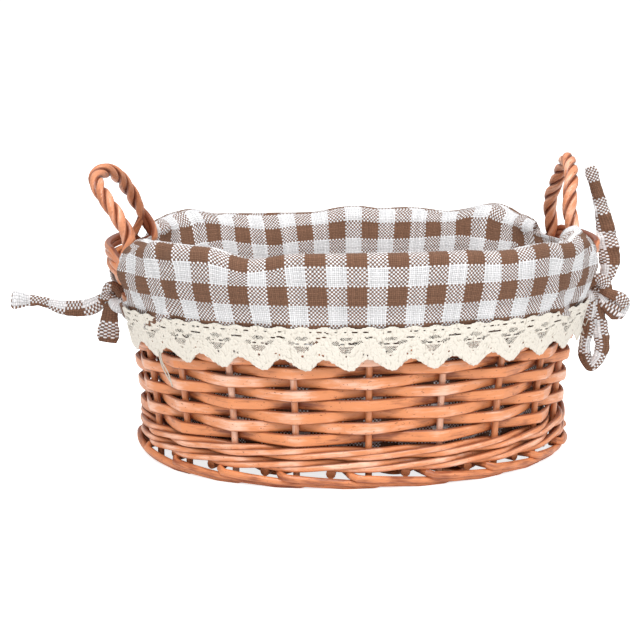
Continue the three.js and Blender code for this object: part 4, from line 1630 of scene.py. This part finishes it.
@dataclass
class Lace:
    """Two lengths of crocheted lace along the cuff's lower edge, from tie to tie."""

    bench: Bench
    top: float = 95.0
    motif: float = 24.0
    left_share: float = 0.62
    out: float = 9.2
    point_place: float = -11.0
    end_station: float = 4.1
    cell: float = 0.56
    depth: float = 28.0
    thickness: float = 0.55
    stake_gap: float = 40.0
    thread_radius: float = 0.3
    threads: Sequence[Sequence[tuple[float, float, float]]] = (
        ((-3.14, 9.4, 73.0), (-3.1, 10.5, 68.0), (-3.02, 10.0, 62.0), (-2.99, 9.0, 53.5)),
        ((-3.18, 9.4, 74.0), (-3.14, 10.5, 69.0), (-3.08, 9.5, 60.0), (-3.03, 8.0, 55.0)),
        ((4.02, 9.6, 80.0), (4.2, 10.5, 77.0), (4.3, 11.0, 79.5)),
        ((4.02, 9.6, 77.0), (4.18, 10.5, 72.0), (4.32, 11.0, 71.0)),
        ((3.98, 9.6, 74.0), (4.1, 10.5, 68.5), (4.02, 11.0, 65.5)),
    )

    def edge(self, x: float) -> float:
        """Gives the lower edge's depth at a distance from a point, steeper on the point's right."""
        share = x / 9.0 if x > 0 else -x / 15.0
        return 25.2 - 6.6 * smooth_step(0.0, 1.0, min(share, 1.0)) + 0.45 * abs(math.sin(math.pi * x / 3))

    def open_at(self, x: float, b: float, seed: float) -> bool:
        """Tells whether the lace has a hole at a place.

        Args:
            x: the distance along the lace from the nearest point.
            b: the distance below the top edge.
            seed: the motif, which makes no two alike.

        Returns:
            True where there is no yarn.
        """
        if b > self.edge(x) or b < 1.2 * math.sin(math.pi * (x + 2) / 12) ** 2:
            return True
        cell_x, cell_b = x / self.cell, b / self.cell
        wander = noise_at(x * 0.35, b * 0.35, seed * 7.1)
        x += 0.7 * wander
        b += 0.5 * noise_at(x * 0.4, b * 0.4, seed * 3.3 + 50)
        dash = (x + 1.5 * wander) % 5.2 - 2.6
        if abs(b - 3.2 - 0.12 * dash) < 0.17 * (1 + wander) and abs(dash) < 1.2:
            return True
        arc = (x - 9.2) if x > -3 else (x + 14.8)
        if abs(arc) < 4.2 and abs(b - 6.2 - 0.03 * arc * arc) < 0.33 * (1 - abs(arc) / 6):
            return True
        barred = (math.floor(cell_x) + math.floor(cell_b)) % 2 == 0
        ovals = ((-2.4, 6.9, 3.4, 1.15, 0.0), (-8.0, 9.4, 1.7, 1.2, 0.0), (3.8, 9.0, 2.8, 0.9, 0.22))
        for middle, level, half_x, half_b, tilt in ovals:
            off = x - middle
            if (off / half_x) ** 2 + ((b - level + tilt * off) / half_b) ** 2 < 1:
                return barred
        if ((x + 2.5) / 5.6) ** 2 + ((b - 9.6 - 0.03 * (x + 2.5) ** 2) / 0.28) ** 2 < 1:
            return abs(x + 2.5) > 1.0
        if 11.2 < b < 14.9 and abs(x + 2.7) < 5.0 * (1 - (b - 11.0) / 6.0):
            return barred
        pinholes = ((9.4, 12.0), (9.7, 14.2), (9.2, 16.2), (6.9, 15.6), (-2.6, 16.6))
        return any((x - a) ** 2 + (b - c) ** 2 < 0.26 for a, c in pinholes)

    def build(self) -> None:
        """Builds the front and the back length, each as its own piece."""
        girth = Girth(self.bench.wall, self.out, 85.0)
        for name, middle in (("lace_front", 0.0), ("lace_back", HALF)):
            start = girth.at(middle - self.end_station)
            end = girth.at(middle + self.end_station)
            self.length(name, girth, start, end)

    def length(self, name: str, girth: Girth, start: float, end: float) -> None:
        """Builds one length.

        Args:
            name: the solid that it stands for.
            girth: measures round the wall.
            start: where it starts, from the middle of the front.
            end: where it ends.
        """
        across = round((end - start) / self.cell)
        down = round(self.depth / self.cell)
        mesh = bmesh.new()
        bmesh.ops.create_grid(mesh, x_segments=across, y_segments=down, size=1.0)
        for vert in mesh.verts:
            vert.co.x = mix(start, end, (vert.co.x + 1) / 2)
            vert.co.y = -self.depth * (1 - (vert.co.y + 1) / 2)
        doomed = []
        for face in mesh.faces:
            middle = face.calc_center_median()
            place = (middle.x - self.point_place) / self.motif + self.left_share
            x = (place % 1.0 - self.left_share) * self.motif
            if self.open_at(x, -middle.y, math.floor(place)):
                doomed.append(face)
        bmesh.ops.delete(mesh, geom=doomed, context="FACES")
        for _ in range(2):
            rim = [vert for vert in mesh.verts if vert.is_boundary]
            axes = {"use_axis_x": True, "use_axis_y": True, "use_axis_z": True}
            bmesh.ops.smooth_vert(mesh, verts=rim, factor=0.6, **axes)
        area = sum(face.calc_area() for face in mesh.faces) * MM * MM
        layer = mesh.loops.layers.uv.new("motifs")
        for face in mesh.faces:
            for loop in face.loops:
                x, b = loop.vert.co.x, -loop.vert.co.y
                place = (x - self.point_place) / self.motif + self.left_share
                place = place % 1.0 - self.left_share
                follow = smooth_step(9.0, 16.0, b) * (self.edge(place * self.motif) - 21.0)
                loop[layer].uv = (x / self.motif, (follow - b) / self.motif)
        cache: dict[int, float] = {}
        for vert in mesh.verts:
            x, b = vert.co.x, -vert.co.y
            key = round(x * 4)
            if key not in cache:
                cache[key] = girth.station(x)
            station = cache[key] + (x - key / 4) / self.stake_gap
            ripple = 0.5 * noise_at(x * 0.06, b * 0.05, 3.0) + 0.25 * noise_at(x * 0.3, b * 0.2, 8.0)
            out = self.out + ripple - 0.02 * b
            vert.co = self.bench.wall.spot(station, out, self.top - b).point
        if name == "lace_front":
            self.loose_threads(mesh)
        piece = self.bench.sheet(mesh, name, Slot.LACE, self.thickness)

    def loose_threads(self, mesh: bmesh.types.BMesh) -> None:
        """Adds the loose threads that hang from the lace.

        Args:
            mesh: the lace, laid on the wall.
        """
        for line in self.threads:
            places = curve_through(line, [5] * (len(line) - 1), (STAKE_GAP, 1.0, 1.0))
            last = len(places) - 1
            strip = bmesh.ops.create_grid(mesh, x_segments=last, y_segments=1, size=1.0)["verts"]
            for vert in strip:
                station, out, height = places[round((vert.co.x + 1) / 2 * last)]
                spot = self.bench.wall.spot(station, out, height)
                vert.co = spot.point + vert.co.y * self.thread_radius * UP.cross(spot.outward)


@dataclass(frozen=True)
class Band:
    """One strip of a tie, seen from its outer end's side.

    Each knot of its line gives how far it is outward from the tie's knot, to the back and up, and
    the strip's width there. The strip's face is turned the way that facing gives.
    """

    knots: Sequence[tuple[float, float, float, float]]
    thickness: float = 2.4
    facing: tuple[float, float, float] = (0.0, -1.0, 0.15)
    shift: float = 0.0
    lane: float = 0.0
    far_lane: float | None = None


@dataclass
class Tie:
    """A strip of the liner's cloth, knotted under a handle."""

    bench: Bench
    name: str
    side: int
    bands: Sequence[Band]
    knot_out: float
    knot_height: float = 94.0
    knot_radius: float = 2.6

    def knot(self) -> Vector:
        """Gives the middle of the knot."""
        return self.bench.wall.spot(self.side * QUARTER, self.knot_out, self.knot_height).point

    def band(self, weft: Weft, band: Band) -> None:
        """Builds one strip, folded lengthwise and a little crumpled.

        Args:
            weft: the tie's mesh.
            band: the strip.
        """
        middle = self.knot()
        knots = [
            (middle.x + self.side * out, middle.y + back, middle.z + up, width)
            for out, back, up, width in band.knots
        ]
        facing = Vector(band.facing).normalized()
        rings = []
        reached = 0.0
        for x, y, z, width in even_curve(knots, 1.2, SPACE_WEIGHTS):
            point = Vector((x, y, z))
            if rings:
                reached += (point - rings[-1].middle).length
            crumple = noise_at(reached * 0.16, band.shift, 3.0)
            turned = (facing + Vector((0.5 * crumple, 0, 0.35 * crumple))).normalized()
            thick = band.thickness / 2 * (1 + 0.45 * noise_at(reached * 0.22, band.shift, 9.0))
            wide = max(width, 2.0) / 2 * (1 + 0.1 * noise_at(reached * 0.3, band.shift, 15.0))
            rings.append(Ring(point, turned, thick, wide))
        drift = 0.0 if band.far_lane is None else (band.far_lane - band.lane) / reached
        weft.lay(rings, 0.5, band.shift, sides=20, power=1.55, lane=band.lane, drift=drift)

    def build(self) -> None:
        """Builds the tie as one piece: a wound knot with its strips."""
        weft = Weft()
        for turn in range(3):
            rings = []
            tilt = Matrix.Rotation(turn * 1.1 - 0.6, 3, "X") @ Matrix.Rotation(0.5 * turn, 3, "Z")
            for step in range(25):
                angle = 2 * math.pi * step / 24
                outward = tilt @ Vector((math.cos(angle), math.sin(angle), 0.0))
                rings.append(Ring(self.knot() + self.knot_radius * outward, outward, 1.5, 3.0))
            weft.lay(rings, 0.5, turn * 17.0, sides=14)
        for band in self.bands:
            self.band(weft, band)
        weft.cloth_uv()
        self.bench.finish(weft.mesh, self.name, Slot.GINGHAM)


@dataclass
class Studio:
    """A plain pale floor, soft light and the photograph's camera."""

    centre: Vector
    distance: float = 830.0
    pitch: float = 12.99
    turn: float = 0.0877
    aim_height: float = 60.0
    lens: float = 75.22
    shift: tuple[float, float] = (-0.05248, 0.03839)

    def floor(self) -> None:
        """Lays the floor."""
        mesh = bmesh.new()
        bmesh.ops.create_grid(mesh, x_segments=1, y_segments=1, size=6.0)
        data = bpy.data.meshes.new("floor")
        mesh.to_mesh(data)
        mesh.free()
        floor = bpy.data.objects.new("floor", data)
        bpy.context.scene.collection.objects.link(floor)
        material = bpy.data.materials.new("pale_floor")
        material.use_nodes = True
        shader = material.node_tree.nodes["Principled BSDF"]
        shader.inputs["Base Color"].default_value = (0.9, 0.9, 0.9, 1.0)
        shader.inputs["Roughness"].default_value = 0.9
        shader.inputs["Specular IOR Level"].default_value = 0.1
        shader.inputs["Emission Color"].default_value = (1.0, 1.0, 1.0, 1.0)
        sheet = NodeSheet(material.node_tree)
        rays = sheet.add("ShaderNodeLightPath")
        glow = sheet.math("MULTIPLY_ADD", rays.outputs["Is Camera Ray"], 0.75, 0.05)
        sheet.feed(shader.inputs["Emission Strength"], glow)
        data.materials.append(material)

    def lights(self) -> None:
        """Sets a bright even room, three soft lights and a small one over the inside."""
        world = bpy.data.worlds.new("studio")
        bpy.context.scene.world = world
        world.use_nodes = True
        sheet = NodeSheet(world.node_tree)
        room = world.node_tree.nodes["Background"]
        backdrop = sheet.add("ShaderNodeBackground")
        for part, strength in ((room, 0.55), (backdrop, 1.1)):
            part.inputs["Color"].default_value = (1.0, 1.0, 1.0, 1.0)
            part.inputs["Strength"].default_value = strength
        rays = sheet.add("ShaderNodeLightPath")
        shown = sheet.add("ShaderNodeMixShader")
        sheet.feed(shown.inputs[0], rays.outputs["Is Camera Ray"])
        sheet.feed(shown.inputs[1], room.outputs[0])
        sheet.feed(shown.inputs[2], backdrop.outputs[0])
        sheet.feed(world.node_tree.nodes["World Output"].inputs["Surface"], shown.outputs[0])
        places = (
            ("key", (-0.35, -1.1, 1.3), 0.4, 10.0),
            ("fill", (1.1, -1.0, 0.6), 0.5, 3.6),
            ("top", (0.05, -0.4, 1.5), 0.6, 12.0),
            ("inside", (0.0, -0.03, 0.34), 0.16, 0.11),
        )
        for name, place, size, power in places:
            light = bpy.data.lights.new(name, "AREA")
            light.shape = "DISK"
            light.size = size
            light.energy = power
            lamp = bpy.data.objects.new(name, light)
            lamp.location = self.centre + Vector(place)
            aim = self.centre + Vector((0, 0, 0.07)) - lamp.location
            lamp.rotation_euler = aim.to_track_quat("-Z", "Y").to_euler()
            bpy.context.scene.collection.objects.link(lamp)

    def camera(self) -> None:
        """Sets the camera where the photograph was taken from."""
        pitch = math.radians(self.pitch)
        level = math.cos(pitch)
        away = Vector((-level * math.sin(self.turn), -level * math.cos(self.turn), math.sin(pitch)))
        target = self.centre + Vector((0, 0, self.aim_height * MM))
        data = bpy.data.cameras.new("camera")
        data.sensor_width = 36.0
        data.lens = self.lens
        data.shift_x, data.shift_y = self.shift
        camera = bpy.data.objects.new("camera", data)
        camera.location = target + self.distance * MM * away
        camera.rotation_euler = (-away).to_track_quat("-Z", "Y").to_euler()
        bpy.context.scene.collection.objects.link(camera)
        bpy.context.scene.camera = camera
        bpy.context.scene.view_settings.view_transform = "Standard"


LEFT_ARCH = (
    (132, -42, 134), (138, -39, 146), (149, -27, 161), (152, -16, 166), (149, -2, 169),
    (143, 12, 166), (138, 26, 157), (133, 37, 144),
)
RIGHT_ARCH = (
    (127, -42.5, 132), (124, -39.5, 144), (125, -33, 155), (128, -23, 165), (130, -10, 171),
    (131, 1, 173), (131.5, 13, 168), (131, 26, 157), (130, 37, 144),
)
LEFT_BANDS = (
    Band(
        (
            (0, 0, 0, 6), (5, -1, -3, 8), (10, -2, -6, 10), (17, -3, -7.4, 10), (24, -3, -7.4, 9.5),
            (31, -3, -6.2, 8), (37, -3, -4, 6.5), (42, -3, -2.6, 6), (48.5, -3, -2, 7.5),
            (54, -3, -1.5, 10.5), (57.5, -3, -1.2, 11.5), (58.6, -3, -1.1, 9),
        ),
        thickness=3.2,
        shift=3.0,
        lane=-0.4 * CHECK,
        far_lane=-0.72 * CHECK,
    ),
    Band(
        ((0, -1, -2, 6), (0.5, -3, -10, 9), (1.5, -4, -18, 12), (2.2, -4, -25, 13.5), (2.6, -4, -28.5, 11)),
        shift=18.0,
        lane=0.12 * CHECK,
    ),
    Band(
        ((2, -3, -3, 5), (2.2, -4.5, 3, 5.5), (-0.5, -5.5, 6.4, 6), (-4, -5, 5.2, 6), (-6.5, -4, 0, 5)),
        shift=31.0,
        lane=0.2 * CHECK,
    ),
    Band(
        ((-15, -3, -2, 10), (-9.5, -5, -5.5, 11.5), (-4.5, -4.5, -6, 9), (0, -2, -3, 5)),
        thickness=4.5,
        shift=44.0,
        lane=CHECK,
    ),
)
RIGHT_BANDS = (
    Band(
        (
            (-1, 0, 1, 7), (4.4, 0, 3.6, 8), (7.5, 0, 9.6, 10), (8.2, 0, 16.7, 13),
            (7.5, 0, 22, 13.5), (5.3, 0, 34, 12), (1.6, 0, 49.4, 9), (-3.1, 0, 64, 7),
            (-6.2, 0, 73.5, 7), (-6.6, 0, 74.6, 6),
        ),
        shift=4.0,
        facing=(-0.25, -1.0, 0.1),
        lane=0.62 * CHECK,
        far_lane=0.1 * CHECK,
    ),
    Band(
        (
            (-1, -2, -1, 5), (-3.2, -4, -14, 8), (-5.0, -5, -26, 8.5), (-7.0, -5, -36, 8),
            (-6.6, -5, -42, 8.5), (-2.2, -5, -50, 6.5), (2.6, -5, -44, 9.5), (4.4, -5, -38, 9.5),
            (2.8, -4.5, -26, 10.5), (0.8, -3, -12, 8.5), (-0.5, -2, -2, 5),
        ),
        shift=23.0,
        facing=(0.1, -1.0, 0.0),
        lane=0.5 * CHECK,
    ),
    Band(
        ((-8, -3, -3, 5.5), (-6, -5, 3, 6.5), (-1, -6, 6, 7.5), (4.5, -5.5, 3, 7.5), (7, -4, -5, 6)),
        shift=42.0,
    ),
    Band(
        ((2, -2, -3, 6), (7, -4, -7.5, 13), (12, -4, -11, 17), (16.5, -4, -13.5, 16), (19.5, -4, -15, 10)),
        thickness=3.6,
        shift=57.0,
        lane=0.7 * CHECK,
    ),
    Band(
        ((1, -4, 0, 5), (8, -6, -3.5, 6.5), (14, -6.5, -6, 7.5), (18.5, -6, -11, 7.5)),
        shift=84.0,
    ),
    Band(
        ((-16, -3, -1, 10), (-10, -4.5, -4, 10), (-4, -4, -4.5, 8), (0, -2, -3, 5)),
        thickness=4.0,
        shift=71.0,
        lane=CHECK,
    ),
)


def main() -> None:
    """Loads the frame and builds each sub-assembly in order."""
    logging.basicConfig(level=logging.INFO, format="%(name)s: %(message)s")
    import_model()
    low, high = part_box("randing_row_01")
    centre = Vector(((low[0] + high[0]) / 2, (low[1] + high[1]) / 2, 0.0))
    studio = Studio(centre)
    studio.floor()
    studio.lights()
    studio.camera()
    bench = Bench(WallShape(), centre, make_finishes())
    Stakes(bench).build()
    Randing(bench).build()
    Wale(bench).build()
    FootBorder(bench).build()
    Base(bench).build()
    Handle(bench, "left", -1, LEFT_ARCH, 9.0).build()
    Handle(bench, "right", 1, RIGHT_ARCH).build()
    Liner(bench).build()
    Lace(bench).build()
    Tie(bench, "tie_left", -1, LEFT_BANDS, 11.4).build()
    Tie(bench, "tie_right", 1, RIGHT_BANDS, 15.5).build()


if __name__ == "__main__":
    main()
